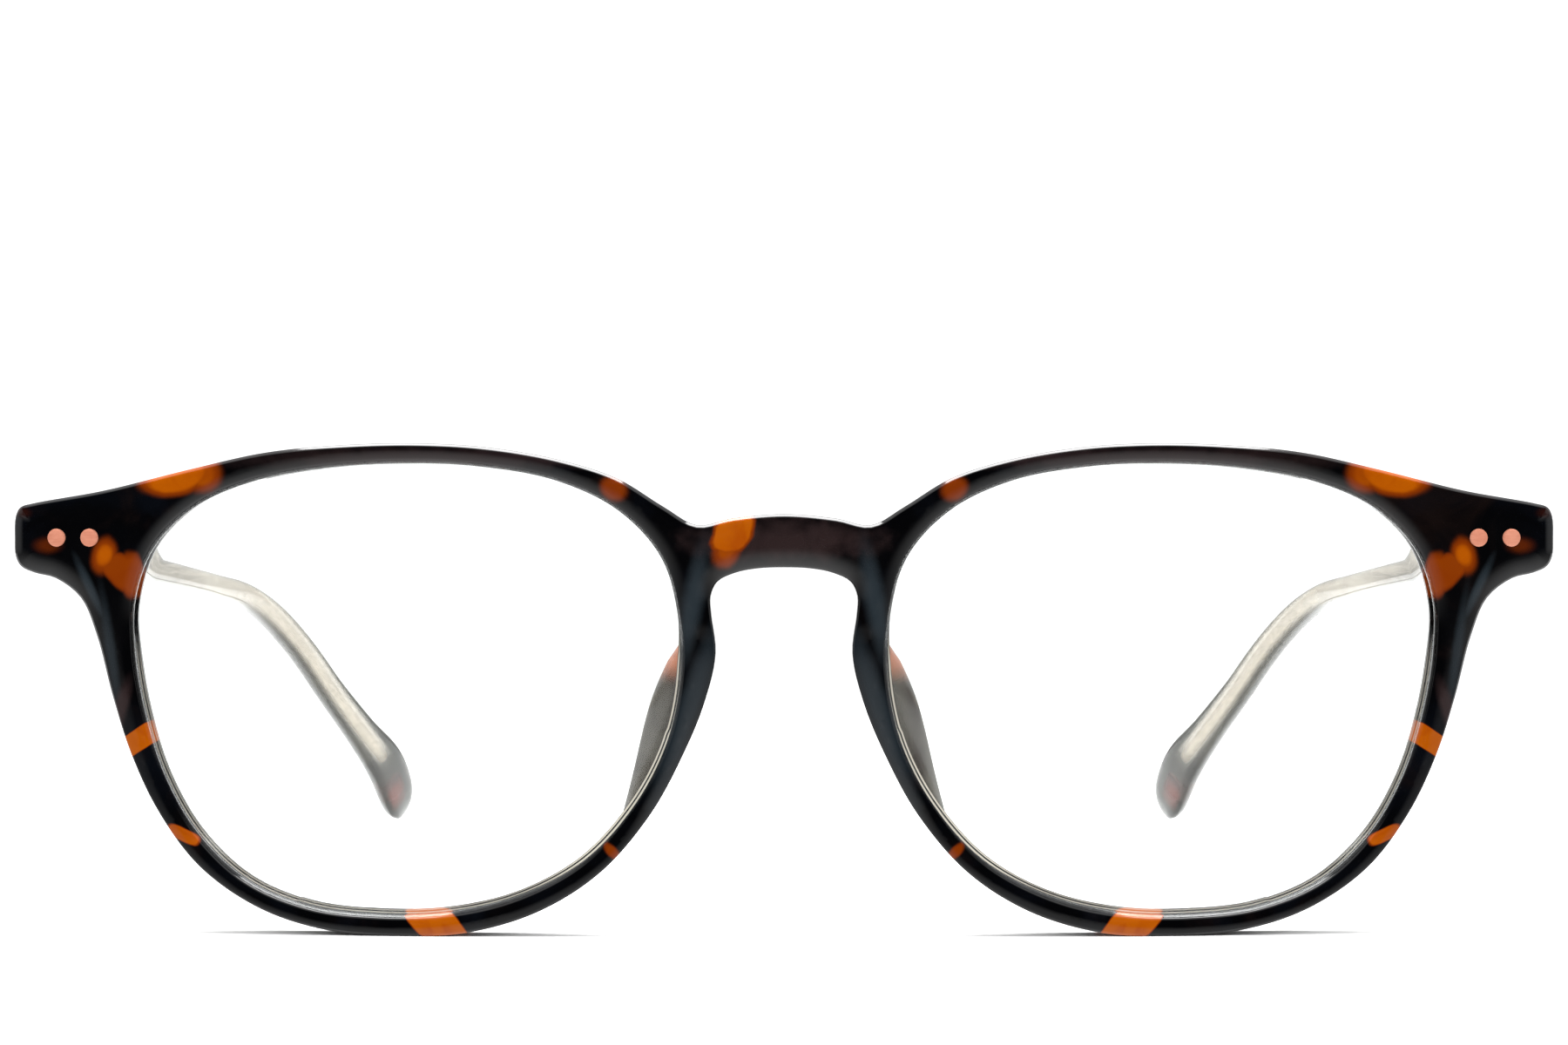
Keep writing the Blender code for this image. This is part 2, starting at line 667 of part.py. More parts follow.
def hang_on(piece, empty, pivot):
    """Put a piece's origin on its pivot and parent it there."""
    piece.data.transform(Matrix.Translation(-pivot))
    piece.parent = empty


def build_glasses():
    clear_scene()
    parts = new_collection("glasses")
    cutters = new_collection("cutters")
    tortoise = new_material("tortoise_acetate", (0.012, 0.010, 0.010), 0.12)
    crystal = new_material("crystal_acetate", (0.80, 0.80, 0.76), 0.08, alpha=0.45)
    clear = new_material("lens_clear", (0.95, 0.97, 0.97), 0.02, alpha=0.2)
    copper = new_material("rose_copper", (0.74, 0.36, 0.26), 0.35, 1.0)
    steel = new_material("hinge_steel", (0.62, 0.60, 0.56), 0.3, 1.0)
    wire = new_material("core_wire_metal", (0.80, 0.74, 0.62), 0.3, 1.0)

    root = pivot_empty("glasses_origin", parts, (0.0, -ORIGIN_TO_FRONT * MM, 0.0))
    fixed = [make_front(parts, cutters, tortoise)]
    for side, name in ((1, "left"), (-1, "right")):
        fixed.append(make_lens(side, name + "_lens", parts, clear))
        fixed.append(make_nose_pad(side, name + "_nose_pad", parts, crystal))
        fixed.append(make_front_hinge(side, name + "_front_hinge", parts, cutters, steel))
        fixed.append(make_hinge_screw(side, name + "_hinge_screw", parts, cutters, steel))
        for place, x in RIVET_X.items():
            fixed.append(make_rivet(side, name + "_rivet_" + place, x, parts, copper))

        pivot = Vector((side * HINGE_AXIS[0], HINGE_AXIS[1], 0.0)) * MM
        axis = pivot_empty(name + "_temple_axis", parts, pivot, root)
        moving = [
            make_temple(side, name + "_temple", parts, cutters, crystal),
            make_temple_hinge(side, name + "_temple_hinge", parts, cutters, steel),
            make_core_wire(side, name + "_core_wire", parts, wire),
            make_tip_inlay(side, name + "_tip_inlay", parts, copper),
        ]
        for piece in moving:
            hang_on(piece, axis, pivot)
    for piece in fixed + list(cutters.objects):
        piece.parent = root


build_glasses()
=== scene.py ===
import math
from functools import partial

import bpy
import numpy as np
from mathutils import Matrix, Vector
from mathutils.geometry import delaunay_2d_cdt


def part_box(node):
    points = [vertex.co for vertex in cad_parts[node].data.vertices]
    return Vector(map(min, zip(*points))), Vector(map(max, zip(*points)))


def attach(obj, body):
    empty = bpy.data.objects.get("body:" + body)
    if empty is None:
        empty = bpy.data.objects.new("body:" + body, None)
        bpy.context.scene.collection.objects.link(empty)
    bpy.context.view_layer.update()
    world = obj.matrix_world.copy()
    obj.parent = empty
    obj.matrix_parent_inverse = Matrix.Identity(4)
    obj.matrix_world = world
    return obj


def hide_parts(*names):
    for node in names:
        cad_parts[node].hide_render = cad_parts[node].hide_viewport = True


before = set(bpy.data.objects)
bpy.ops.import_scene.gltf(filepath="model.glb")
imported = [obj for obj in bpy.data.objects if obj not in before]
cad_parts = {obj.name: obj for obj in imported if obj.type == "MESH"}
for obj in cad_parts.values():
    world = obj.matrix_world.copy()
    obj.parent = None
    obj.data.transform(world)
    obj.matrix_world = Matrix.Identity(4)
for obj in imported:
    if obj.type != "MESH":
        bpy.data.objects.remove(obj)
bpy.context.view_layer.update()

mm = 0.001
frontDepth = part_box("front_frame")[0].y / mm          # the flat drawing's y = 0 plane, in the frame
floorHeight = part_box("front_frame")[0].z / mm
sides = {"left": 1, "right": -1}                      # the wearer's left is +X


# Work in object and edit mode

def setMode(mode):
    bpy.ops.object.mode_set(mode=mode)


def deselectAll():
    if bpy.context.object and bpy.context.object.mode != "OBJECT":
        setMode("OBJECT")
    bpy.ops.object.select_all(action="DESELECT")


def pickOnly(piece):
    deselectAll()
    piece.select_set(True)
    bpy.context.view_layer.objects.active = piece


def editAll(piece):
    pickOnly(piece)
    setMode("EDIT")
    bpy.ops.mesh.select_all(action="SELECT")


def addMesh(operator, **values):
    deselectAll()
    operator(**values)
    return bpy.context.object


def addObject(name, data):
    added = bpy.data.objects.new(name, data)
    bpy.context.scene.collection.objects.link(added)
    return added


def applyModifiers(piece):
    pickOnly(piece)
    for modifier in list(piece.modifiers):
        bpy.ops.object.modifier_apply(modifier=modifier.name)


def applyPlace(piece):
    pickOnly(piece)
    bpy.ops.object.transform_apply(location=True, rotation=True, scale=True)


def smoothBy(piece, degrees):
    pickOnly(piece)
    bpy.ops.object.shade_smooth_by_angle(angle=math.radians(degrees))


def faceOutward(piece, weld=0.0, fillEnds=False):
    # merge points that meet, close open ends and turn every face outward
    editAll(piece)
    if weld:
        bpy.ops.mesh.remove_doubles(threshold=weld * mm)
    if fillEnds:
        bpy.ops.mesh.fill_holes(sides=0)
        bpy.ops.mesh.select_all(action="SELECT")
    bpy.ops.mesh.normals_make_consistent(inside=False)
    setMode("OBJECT")


def addBlock(low, high):
    # a block between two corners, in millimetres
    block = addMesh(bpy.ops.mesh.primitive_cube_add, size=1.0)
    block.dimensions = [(b - a) * mm for a, b in zip(low, high)]
    block.location = [(a + b) / 2 * mm for a, b in zip(low, high)]
    applyPlace(block)
    return block


def bevelAlong(piece, axis, width, segments):
    # round the edges that run along one axis
    pickOnly(piece)
    for edge in piece.data.edges:
        start, end = (piece.data.vertices[v].co[axis] for v in edge.vertices)
        edge.select = abs(start - end) > 0.1 * mm
    setMode("EDIT")
    bpy.ops.mesh.select_mode(type="EDGE")
    bpy.ops.mesh.bevel(offset=width * mm, segments=segments)
    setMode("OBJECT")


def roundEdges(piece, width, segments, angle):
    bevel = piece.modifiers.new("round", "BEVEL")
    bevel.width = width * mm
    bevel.segments = segments
    bevel.limit_method = "ANGLE"
    bevel.angle_limit = math.radians(angle)
    applyModifiers(piece)


def sag(x):
    return wrapRadius - math.sqrt(wrapRadius ** 2 - x ** 2)


def mirrorTo(piece, side):
    if side < 0:
        piece.scale = (-1.0, 1.0, 1.0)
        applyPlace(piece)
        faceOutward(piece)


def markPoints(piece, label, values):
    piece.data.attributes.new(label, "FLOAT", "POINT").data.foreach_set("value", values)


def loftFromGrid(rings, marks=()):
    # a grid with a row for each ring, rolled up so that each row closes on itself
    piece = addMesh(bpy.ops.mesh.primitive_grid_add, x_subdivisions=len(rings[0]),
                    y_subdivisions=len(rings) - 1)
    points = [(x * mm, (y + frontDepth) * mm, z * mm) for ring in rings for x, y, z in [*ring, ring[0]]]
    piece.data.vertices.foreach_set("co", np.array(points, dtype=np.float32).ravel())
    piece.data.uv_layers.remove(piece.data.uv_layers[0])
    for label, rows in marks:
        markPoints(piece, label, [value for row in rows for value in [*row, row[0]]])
    faceOutward(piece, weldWithin, True)
    return piece


def cutAway(piece, cutter):
    cut = piece.modifiers.new("cut", "BOOLEAN")
    cut.operation = "DIFFERENCE"
    cut.object = cutter
    applyModifiers(piece)
    bpy.data.objects.remove(cutter, do_unlink=True)


def finishPiece(piece, material, body, slotName, *nodes):
    # a piece is named after the CAD node that it replaces
    first, *others = nodes[0].split("_")
    piece.name = first + "".join(word.capitalize() for word in others)
    piece.data.materials.clear()
    piece.data.materials.append(material)
    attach(piece, body)
    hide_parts(*nodes)


# Curves

def curvePoint(points, index, t):
    # centripetal Catmull-Rom from points[index] to the next one of a closed list
    row = [Vector(points[(index + k) % len(points)]) for k in (-1, 0, 1, 2)]
    knots = [0.0]
    for before, after in zip(row, row[1:]):
        knots.append(knots[-1] + math.sqrt((after - before).length))
    at = knots[1] + (knots[2] - knots[1]) * t
    for spans in (((0, 1), (1, 2), (2, 3)), ((0, 2), (1, 3)), ((1, 2),)):
        row = [before * (knots[high] - at) / (knots[high] - knots[low])
               + after * (at - knots[low]) / (knots[high] - knots[low])
               for before, after, (low, high) in zip(row, row[1:], spans)]
    return row[0]


def smoothPath(points, first, last, step, least):
    path = []
    for index in range(first, last):
        length = (Vector(points[(index + 1) % len(points)]) - Vector(points[index % len(points)])).length
        count = max(least, round(length / step))
        path += [curvePoint(points, index, k / count) for k in range(count)]
    return path


def blendStep(low, high, value):
    share = np.clip((value - low) / (high - low), 0.0, 1.0)
    return share * share * (3.0 - 2.0 * share)


# Front: the same outline and lens opening as the CAD, with its relief

wrapRadius = 400.0

frontShape = {
    "thickness": 4.0,
    "step": 0.7,
    "bridgeTop": (0.0, 38.0),
    "bridgeBottom": (0.0, 33.2),
    "halfOutline": [
        (4.7, 37.6), (7.8, 37.0), (10.9, 38.7), (15.0, 41.2), (20.3, 42.9), (26.6, 44.0), (33.0, 44.4),
        (40.0, 44.25), (47.0, 43.6), (54.0, 42.1), (62.0, 40.2), (68.7, 39.05), (69.9, 38.7),
        (70.4, 37.9), (70.5, 35.8), (70.4, 34.2), (69.9, 33.3), (68.6, 32.7), (66.6, 32.2),
        (64.2, 30.4), (62.7, 27.0), (61.2, 21.6), (59.4, 16.3), (56.8, 11.0), (52.9, 6.0),
        (47.3, 2.3), (40.9, 0.4), (34.0, 0.0), (28.2, 0.4), (22.0, 2.3), (16.5, 5.8), (12.0, 11.0),
        (9.0, 16.5), (7.1, 21.2), (6.15, 25.5), (6.55, 29.0), (6.6, 30.6), (6.0, 31.9), (4.4, 32.7),
        (2.4, 33.1),
    ],
    "lensOpening": [
        (34.0, 42.6), (27.5, 42.3), (20.5, 41.0), (14.9, 38.3), (11.0, 34.0), (9.4, 28.0),
        (9.4, 22.5), (10.7, 17.0), (13.6, 11.6), (18.0, 6.8), (24.0, 3.6), (30.4, 2.1), (37.0, 1.9),
        (43.0, 2.6), (48.7, 4.9), (53.2, 9.0), (56.3, 14.2), (58.2, 20.0), (59.2, 26.0),
        (59.1, 30.5), (57.4, 35.0), (53.7, 38.6), (48.5, 40.9), (41.5, 42.2),
    ],
    "bevelRows": (0.04, 0.09, 0.15, 0.22, 0.32, 0.45, 0.6, 0.8, 1.0, 1.25, 1.5, 1.8, 2.15, 2.5),
    "gridStep": 0.8,
    "backGridStep": 2.0,
    "sideRows": (1.3, 2.2, 3.0),
    "topBevel": (0.6, 0.15),          # reach and drop of the bevel where the outline faces up
    "sideBevel": (1.7, 0.5),          # the same where it faces down or out
    "upward": (0.2, 0.9),             # how far up the outline faces where one turns into the other
    "lowBevel": (0.25, 14.0, 26.0),   # share of that drop left on the lower rims, and where it changes
    "lensBevel": (1.3, 0.36),
    "cornerRadius": 0.25,
    "cornerShare": 0.74,              # how much of the quarter round is cut before the side wall
    "topChamfer": 0.23,
    "lensChamfer": 0.28,
    "ledge": 0.22,                    # how far the back lip of the lens groove shows past the front one
    "ledgeFade": (0.85, 30.0, 38.0),  # how much of it goes towards the top, and between which heights
    "noseLedge": 0.3,                 # the same again beside the nose, where the lip also gets a painted highlight
    "noseLedgeAcross": (15.0, 24.0),  # half of that goes between these in x
    "noseLedgeHeights": (24.0, 29.0),
    "lip": ((0.0, 0.0), (0.08, 1.0), (0.3, 0.9), (0.42, 0.0), (0.58, 0.0), (0.7, 1.0), (0.9, 0.7),
            (1.0, 0.0)),              # shares of the way over the lip, and how strong the painted highlight is at each
    "scoopBevel": (2.6, 0.62),        # nose side, under the bridge
    "scoopHeights": (6.0, 12.0, 26.6, 28.2),
    "scoopAcross": (16.0, 22.0),
    "bridgeRecess": 0.3,
    "bridgeEdge": (5.6, 7.2),         # where the recess of the bridge ends, in x
    "bridgeFloor": (29.0, 33.0),      # and in z
    "backRadius": 0.4,
    "grooveDepth": 0.85,
    "groove": (1.1, 2.7),
}

weldWithin = 0.0005
rivetPlaces = {"inner": 63.3, "outer": 66.4}
rivetShape = {"height": 35.9, "headRadius": 0.82, "headLength": 0.7, "shankRadius": 0.5, "length": 3.6,
              "crown": 0.07, "crownSteps": ((0.09, 0.45), (0.25, 0.4), (0.35, 0.15)),
              "holeGap": 0.03, "holeLength": 4.0}
leafPocket = {"x": (60.85, 67.65), "z": (33.6, 38.2), "depth": 1.1, "corner": 0.65, "cut": 3.0}


def segmentDistances(points, line):
    # distance from each point to a closed clockwise line, and how far up that line faces there
    nearest = np.full(len(points), 1e9)
    facing = np.zeros(len(points))
    for start, end in zip(line, np.roll(line, -1, axis=0)):
        run = end - start
        share = np.clip(((points - start) @ run) / (run @ run), 0.0, 1.0)
        reach = np.linalg.norm(points - start - share[:, None] * run, axis=1)
        closer = reach < nearest
        nearest[closer] = reach[closer]
        facing[closer] = run[0] / math.hypot(*run)
    return nearest, facing


def insideLine(points, line):
    # even-odd test of points against a closed line
    inside = np.zeros(len(points), bool)
    for (x0, z0), (x1, z1) in zip(line, np.roll(line, -1, axis=0)):
        crosses = (z0 > points[:, 1]) != (z1 > points[:, 1])
        slope = (x1 - x0) / (z1 - z0) if z1 != z0 else 0.0
        inside ^= crosses & (points[:, 0] < x0 + (points[:, 1] - z0) * slope)
    return inside


def inwardNormals(line, closed=True):
    # unit normals to the right of the way along a line; an open one starts and ends level
    if closed:
        along = np.roll(line, -1, axis=0) - np.roll(line, 1, axis=0)
    else:
        along = np.gradient(line, axis=0)
        along[0], along[-1] = (1.0, 0.0), (-1.0, 0.0)
    normals = np.c_[along[:, 1], -along[:, 0]]
    return normals / np.linalg.norm(normals, axis=1)[:, None]


def frontRelief(points, outline, opening):
    # how deep the face of the front lies below its flat at each point
    shape = frontShape
    fromOutline, facing = segmentDistances(points, outline)
    fromLens, _ = segmentDistances(points, opening)
    up = blendStep(*shape["upward"], facing)
    x, z = points[:, 0], points[:, 1]
    scoop = blendStep(*shape["scoopHeights"][:2], z) * (1.0 - blendStep(*shape["scoopHeights"][2:], z))
    scoop *= 1.0 - blendStep(*shape["scoopAcross"], x)
    lowShare, lowFrom, lowTo = shape["lowBevel"]
    share = lowShare + (1.0 - lowShare) * blendStep(lowFrom, lowTo, z)
    reach = shape["topBevel"][0] * up + shape["sideBevel"][0] * (1.0 - up)
    drop = shape["topBevel"][1] * up + shape["sideBevel"][1] * share * (1.0 - up)
    reach = reach * (1.0 - scoop) + shape["scoopBevel"][0] * scoop
    drop = drop * (1.0 - scoop) + shape["scoopBevel"][1] * scoop
    relief = drop * np.clip(1.0 - fromOutline / reach, 0.0, 1.0) ** 2
    lensReach, lensDrop = shape["lensBevel"]
    relief += lensDrop * np.clip(1.0 - fromLens / lensReach, 0.0, 1.0) ** 2
    relief += np.clip(shape["topChamfer"] - fromOutline, 0.0, None) * up
    relief += np.clip(shape["lensChamfer"] - fromLens, 0.0, None)
    radius = shape["cornerRadius"]
    inside = np.clip(radius - fromOutline, 0.0, radius) * shape["cornerShare"]
    relief += (radius - np.sqrt(radius ** 2 - inside ** 2)) * (1.0 - up)
    recess = (1.0 - blendStep(*shape["bridgeEdge"], x)) * blendStep(*shape["bridgeFloor"], z)
    return relief + shape["bridgeRecess"] * recess


def bevelPoints(line, normals, ownLine, otherLine):
    # rows of points that follow a line at rising distances, as far as they stay its own
    rows = []
    for distance in frontShape["bevelRows"]:
        row = line + normals * distance
        own, other = segmentDistances(row, ownLine)[0], segmentDistances(row, otherLine)[0]
        keep = (own > distance * 0.97) & (own <= other + 0.02) & (other > 0.05) & (row[:, 0] > 0.06)
        rows.append(row[keep])
    return np.concatenate(rows)


def clearGrid(step, start, clearance, outline, opening):
    # staggered points over one side of the front that keep clear of both lines
    x, z = np.meshgrid(np.arange(start, 71.0, step), np.arange(0.0, 45.0, step))
    x[1::2] += step / 2
    grid = np.c_[x.ravel(), z.ravel()]
    reach = np.minimum(segmentDistances(grid, outline)[0], segmentDistances(grid, opening)[0])
    return grid[reach > clearance]


def fillBetween(edge, hole, extra):
    # triangles between a closed edge and a hole, through extra points
    points = [Vector(point) for point in np.concatenate([edge, hole, extra])]
    rim = [(k, (k + 1) % len(edge)) for k in range(len(edge))]
    rim += [(len(edge) + k, len(edge) + (k + 1) % len(hole)) for k in range(len(hole))]
    found, _, faces, *_ = delaunay_2d_cdt(points, rim, [], 0, 1e-5)
    found = np.array(found)
    middles = np.array([found[face].mean(axis=0) for face in faces])
    wanted = insideLine(middles, edge) & ~insideLine(middles, hole)
    return found, [face for face, keep in zip(faces, wanted) if keep]


def stripFaces(count, rows, closed):
    # quads between neighbouring rows of a wall
    faces = []
    for low in range(0, (rows - 1) * count, count):
        for k in range(count if closed else count - 1):
            after = (k + 1) % count
            faces.append((low + k, low + after, low + count + after, low + count + k))
    return faces


def frontParts():
    # half of the front as (points, faces, painted highlight of the lip): face, outer wall, lens wall, back
    shape = frontShape
    half = [shape["bridgeTop"], *shape["halfOutline"], shape["bridgeBottom"]]
    whole = half + [(-x, z) for x, z in reversed(shape["halfOutline"])]
    chain = smoothPath(whole, 0, len(half) - 1, shape["step"], 4)
    chain = np.array([*chain, Vector(shape["bridgeBottom"])])
    outline = np.concatenate([chain, (chain * (-1.0, 1.0))[-2:0:-1]])
    clockwise = list(reversed(shape["lensOpening"]))
    opening = np.array(smoothPath(clockwise, 0, len(clockwise), shape["step"], 4))
    inward, outward = inwardNormals(chain, False), -inwardNormals(opening)
    top, bottom = chain[0, 1], chain[-1, 1]
    near = [d for d in shape["bevelRows"] if d < (top - bottom) / 2]
    heights = [bottom + d for d in near] + [(top + bottom) / 2] + [top - d for d in reversed(near)]
    middle = np.array([(0.0, z) for z in heights])

    extra = [bevelPoints(chain, inward, outline, opening), bevelPoints(opening, outward, opening, outline),
             clearGrid(shape["gridStep"], 0.3, shape["bevelRows"][-1] + 0.15, outline, opening)]
    face, faceFaces = fillBetween(np.concatenate([chain, middle]), opening, np.concatenate(extra))
    relief = frontRelief(face, outline, opening)
    parts = [(np.c_[face, relief], [f[::-1] for f in faceFaces], [0.0] * len(face))]

    back, radius = shape["thickness"], shape["backRadius"]
    turns = [math.radians(angle) for angle in (0, 30, 60, 90)]
    rounding = [(radius * (1 - math.cos(a)), back - radius * (1 - math.sin(a))) for a in turns]
    low, high = shape["groove"]
    deep, ledge = shape["grooveDepth"], shape["ledge"]
    groove = [(0.0, low - 0.1), (0.0, low), (deep, low + 0.02), (deep, high - 0.02)]
    wide = shape["noseLedge"] * (1.0 - 0.5 * blendStep(*shape["noseLedgeAcross"], opening[:, 0]))
    wide *= 1.0 - blendStep(*shape["noseLedgeHeights"], opening[:, 1])
    fade, fadeFrom, fadeTo = shape["ledgeFade"]
    out = ledge * (1.0 - fade * blendStep(fadeFrom, fadeTo, opening[:, 1])) + wide
    rims = []
    for line, normals, closed, profile in (
            (chain, inward, False, [(0.0, depth) for depth in shape["sideRows"]] + rounding),
            (opening, outward, True, groove)):
        edge = frontRelief(line, outline, opening)
        rows = [np.c_[line, edge]]
        rows += [np.c_[line + normals * inset, np.maximum(edge + 0.01, depth)]
                 for inset, depth in profile]
        glow = [0.0] * len(line) * len(rows)
        if closed:
            # rows over the lip carry a painted highlight, strongest beside the nose
            for share, shine in shape["lip"]:
                rows.append(np.c_[line - normals * (out * share)[:, None],
                                  np.full(len(line), high + ledge * share)])
                glow += list(shine * wide / shape["noseLedge"])
            for inset, depth in rounding:
                rows.append(np.c_[line + normals * (inset - out)[:, None], np.full(len(line), depth)])
                glow += [0.0] * len(line)
        rims.append(rows[-1][:, :2])
        parts.append((np.concatenate(rows), stripFaces(len(line), len(rows), closed), glow))
    top, bottom = rims[0][0, 1], rims[0][-1, 1]
    backEdge = np.concatenate([rims[0], [(0.0, bottom + (top - bottom) * k / 5) for k in range(1, 5)]])
    flat, flatFaces = fillBetween(backEdge, rims[1],
                                  clearGrid(shape["backGridStep"], 1.0, 1.0, outline, opening))
    parts.append((np.c_[flat, np.full(len(flat), back)], flatFaces, [0.0] * len(flat)))
    return parts


def makeFront():
    points, faces, shines = [], [], []
    for partPoints, partFaces, partShines in frontParts():
        start = len(points)
        points += [(x * mm, (depth + sag(x) + frontDepth) * mm, z * mm) for x, z, depth in partPoints]
        faces += [tuple(start + k for k in face) for face in partFaces]
        shines += partShines
    mesh = bpy.data.meshes.new("front")
    mesh.from_pydata(points, [], faces)
    front = addObject("front", mesh)
    # the painted highlight of the lens lip, kept as a mark on the points
    markPoints(front, "lipHighlightMask", shines)
    half = front.modifiers.new("otherHalf", "MIRROR")
    half.merge_threshold = 0.002 * mm
    applyModifiers(front)
    faceOutward(front, weldWithin)
    for side in sides.values():
        cutAway(front, makePocket(side))
        for x in rivetPlaces.values():
            cutAway(front, makeRivetHole(side * x))
    smoothBy(front, 40.0)
    return front


def makePocket(side):
    x, z = leafPocket["x"], leafPocket["z"]
    middle, half = (x[0] + x[1]) / 2, (x[1] - x[0]) / 2
    floor = frontShape["thickness"] - leafPocket["depth"]
    pocket = addBlock((-half, floor, z[0]), (half, floor + leafPocket["cut"], z[1]))
    bevelAlong(pocket, 1, leafPocket["corner"], 4)
    pocket.rotation_euler = (0.0, 0.0, side * math.asin(middle / wrapRadius))
    pocket.location = (side * middle * mm, (frontDepth + sag(middle)) * mm, 0.0)
    applyPlace(pocket)
    return pocket


def turnForward(piece, x, depth):
    # face a round part forward, with its middle this deep in the front
    piece.rotation_euler = (math.radians(90.0), 0.0, 0.0)
    piece.location = (x * mm, (frontDepth + sag(x) + depth) * mm, rivetShape["height"] * mm)
    applyPlace(piece)


def makeRivetHole(x):
    shape = rivetShape
    hole = addMesh(bpy.ops.mesh.primitive_cylinder_add, vertices=40, depth=shape["holeLength"] * mm,
                   radius=(shape["headRadius"] + shape["holeGap"]) * mm)
    turnForward(hole, x, shape["headLength"] - shape["holeLength"] / 2)
    return hole


# Lenses

lensShape = {
    "centre": (34.0, 22.3),
    "grow": 0.6,
    "edge": 1.3,
    "middle": 1.8,
    "dome": 1.6,
    "depth": 1.9,
    "rings": 14,
    "step": 0.9,
    "rim": ((0.992, 0.0), (1.0, 0.18)),     # shares of the radius, and how far each is cut back
}


def growLoop(loop, amount):
    grown = []
    for index, point in enumerate(loop):
        along = loop[(index + 1) % len(loop)] - loop[index - 1]
        grown.append(point + Vector((along.y, -along.x)).normalized() * amount)
    return grown


def makeLens(side):
    shape = lensShape
    opening = frontShape["lensOpening"]
    edge = growLoop(smoothPath(opening, 0, len(opening), shape["step"], 3), shape["grow"])
    centre = Vector(shape["centre"])
    shares = [(k / shape["rings"], 0.0) for k in range(shape["rings"])] + list(shape["rim"])

    def ring(share, inset, back):
        depth = shape["depth"] - shape["edge"] / 2 - shape["dome"] * (1 - share ** 2)
        if back:
            depth += shape["edge"] + (shape["middle"] - shape["edge"]) * (1 - share ** 2) - inset
        else:
            depth += inset
        points = [centre + (point - centre) * share for point in edge]
        return [(point.x, depth + sag(point.x), point.y) for point in points]

    rings = [ring(share, inset, False) for share, inset in shares]
    rings += [ring(share, inset, True) for share, inset in reversed(shares)]
    lens = loftFromGrid(rings)
    mirrorTo(lens, side)
    smoothBy(lens, 40.0)
    return lens


# Nose pads: height z, nose side x, outer side x, depth behind the rim, flare

padSections = [
    (9.9, 13.3, 14.9, 1.2, 0.3),
    (12.0, 12.0, 13.7, 3.0, 1.1),
    (14.8, 10.4, 12.2, 4.5, 2.0),
    (18.0, 9.0, 10.9, 5.3, 2.7),
    (21.5, 7.9, 9.9, 5.3, 2.8),
    (24.6, 7.2, 9.2, 4.2, 2.0),
    (26.8, 7.1, 8.9, 2.2, 1.0),
    (27.7, 7.3, 8.6, 0.9, 0.5),
]


def makeNosePad(side):
    rings = []
    front = frontShape["thickness"] - 0.15        # a little way into the rim it is bonded to
    for z, inner, outer, depth, flare in padSections:
        back = front + depth
        tip = (inner + outer) / 2 + flare
        width = (outer - inner) / 2
        plan = [
            (inner, front), (outer, front), (outer + flare * 0.45, front + depth * 0.4),
            (tip + width * 0.8, front + depth * 0.8), (tip + width * 0.3, back),
            (tip - width * 0.4, back), (tip - width * 0.95, front + depth * 0.75),
            (inner + flare * 0.3, front + depth * 0.4),
        ]
        rings.append([(x, y + sag(x), z) for x, y in plan])
    pad = loftFromGrid(rings)
    soften = pad.modifiers.new("soften", "SUBSURF")
    soften.levels = soften.render_levels = 3
    applyModifiers(pad)
    mirrorTo(pad, side)
    smoothBy(pad, 60.0)
    return pad


# Temples: depth y, offset x, height z, thickness, height of the section, twist in degrees

templeStations = [
    (9.6, 68.3, 35.6, 4.0, 5.4, 0.0),
    (28.0, 67.4, 34.4, 3.4, 3.9, 0.0),
    (48.0, 66.2, 32.8, 2.8, 2.7, 0.0),
    (66.0, 65.2, 31.6, 2.6, 2.4, 0.0),
    (82.0, 64.4, 30.5, 2.5, 2.4, 4.0),
    (95.0, 63.1, 29.2, 2.4, 2.6, 10.0),
    (103.5, 61.1, 26.6, 2.4, 2.9, 18.0),
    (111.0, 58.6, 22.4, 2.4, 3.1, 25.0),
    (119.0, 56.0, 16.9, 2.4, 3.4, 30.0),
    (126.3, 53.5, 12.0, 2.4, 4.0, 33.0),
    (132.5, 51.5, 8.0, 2.4, 5.1, 35.0),
    (138.0, 50.7, 4.3, 2.3, 5.1, 35.0),
    (140.6, 50.6, 2.5, 2.1, 4.1, 35.0),
    (142.0, 50.6, 1.5, 1.4, 2.4, 35.0),
]
# Corner rows are inset and depth as shares of the rounding; caps are size and push of each ring
templeShape = {"step": 1.2, "around": 28, "roundness": 3.2, "buttGap": 0.1, "buttRound": 0.3,
               "corner": ((1.0, 0.0), (0.3, 0.3), (0.0, 1.0)),
               "caps": ((0.86, 0.28), (0.6, 0.48), (0.3, 0.58))}
templeSlot = {"x": (64.6, 67.05), "y": (8.8, 17.2), "z": (34.25, 37.55)}
wireShape = {"height": 1.3, "thickness": 0.75, "from": 15.7, "to": 131.0, "shift": 0.5, "fade": 40.0,
             "step": 1.2, "around": 16, "roundness": 3.0,
             "caps": ((0.85, 0.28), (0.55, 0.5), (0.2, 0.6))}
inlayShape = {"at": 136.8, "length": 4.0, "height": 2.2, "depth": 0.7, "corner": 0.8, "edge": 0.12,
              "below": 0.02, "glowLift": 0.9}


def templeAt(y):
    # a row like the stations, at any depth between them
    last = len(templeStations) - 1
    span = sum(station[0] <= y for station in templeStations[1:last])
    rows = [templeStations[min(max(span + k, 0), last)] for k in (-1, 0, 1, 2)]
    y0, y1, y2, y3 = (row[0] for row in rows)
    length = y2 - y1
    t = (y - y1) / length
    values = [y]
    for column in range(1, 6):
        p0, p1, p2, p3 = (row[column] for row in rows)
        start, end = (p2 - p0) / (y2 - y0), (p3 - p1) / (y3 - y1)
        values.append((2 * t ** 3 - 3 * t ** 2 + 1) * p1 + (t ** 3 - 2 * t ** 2 + t) * length * start
                      + (3 * t ** 2 - 2 * t ** 3) * p2 + (t ** 3 - t ** 2) * length * end)
    return values


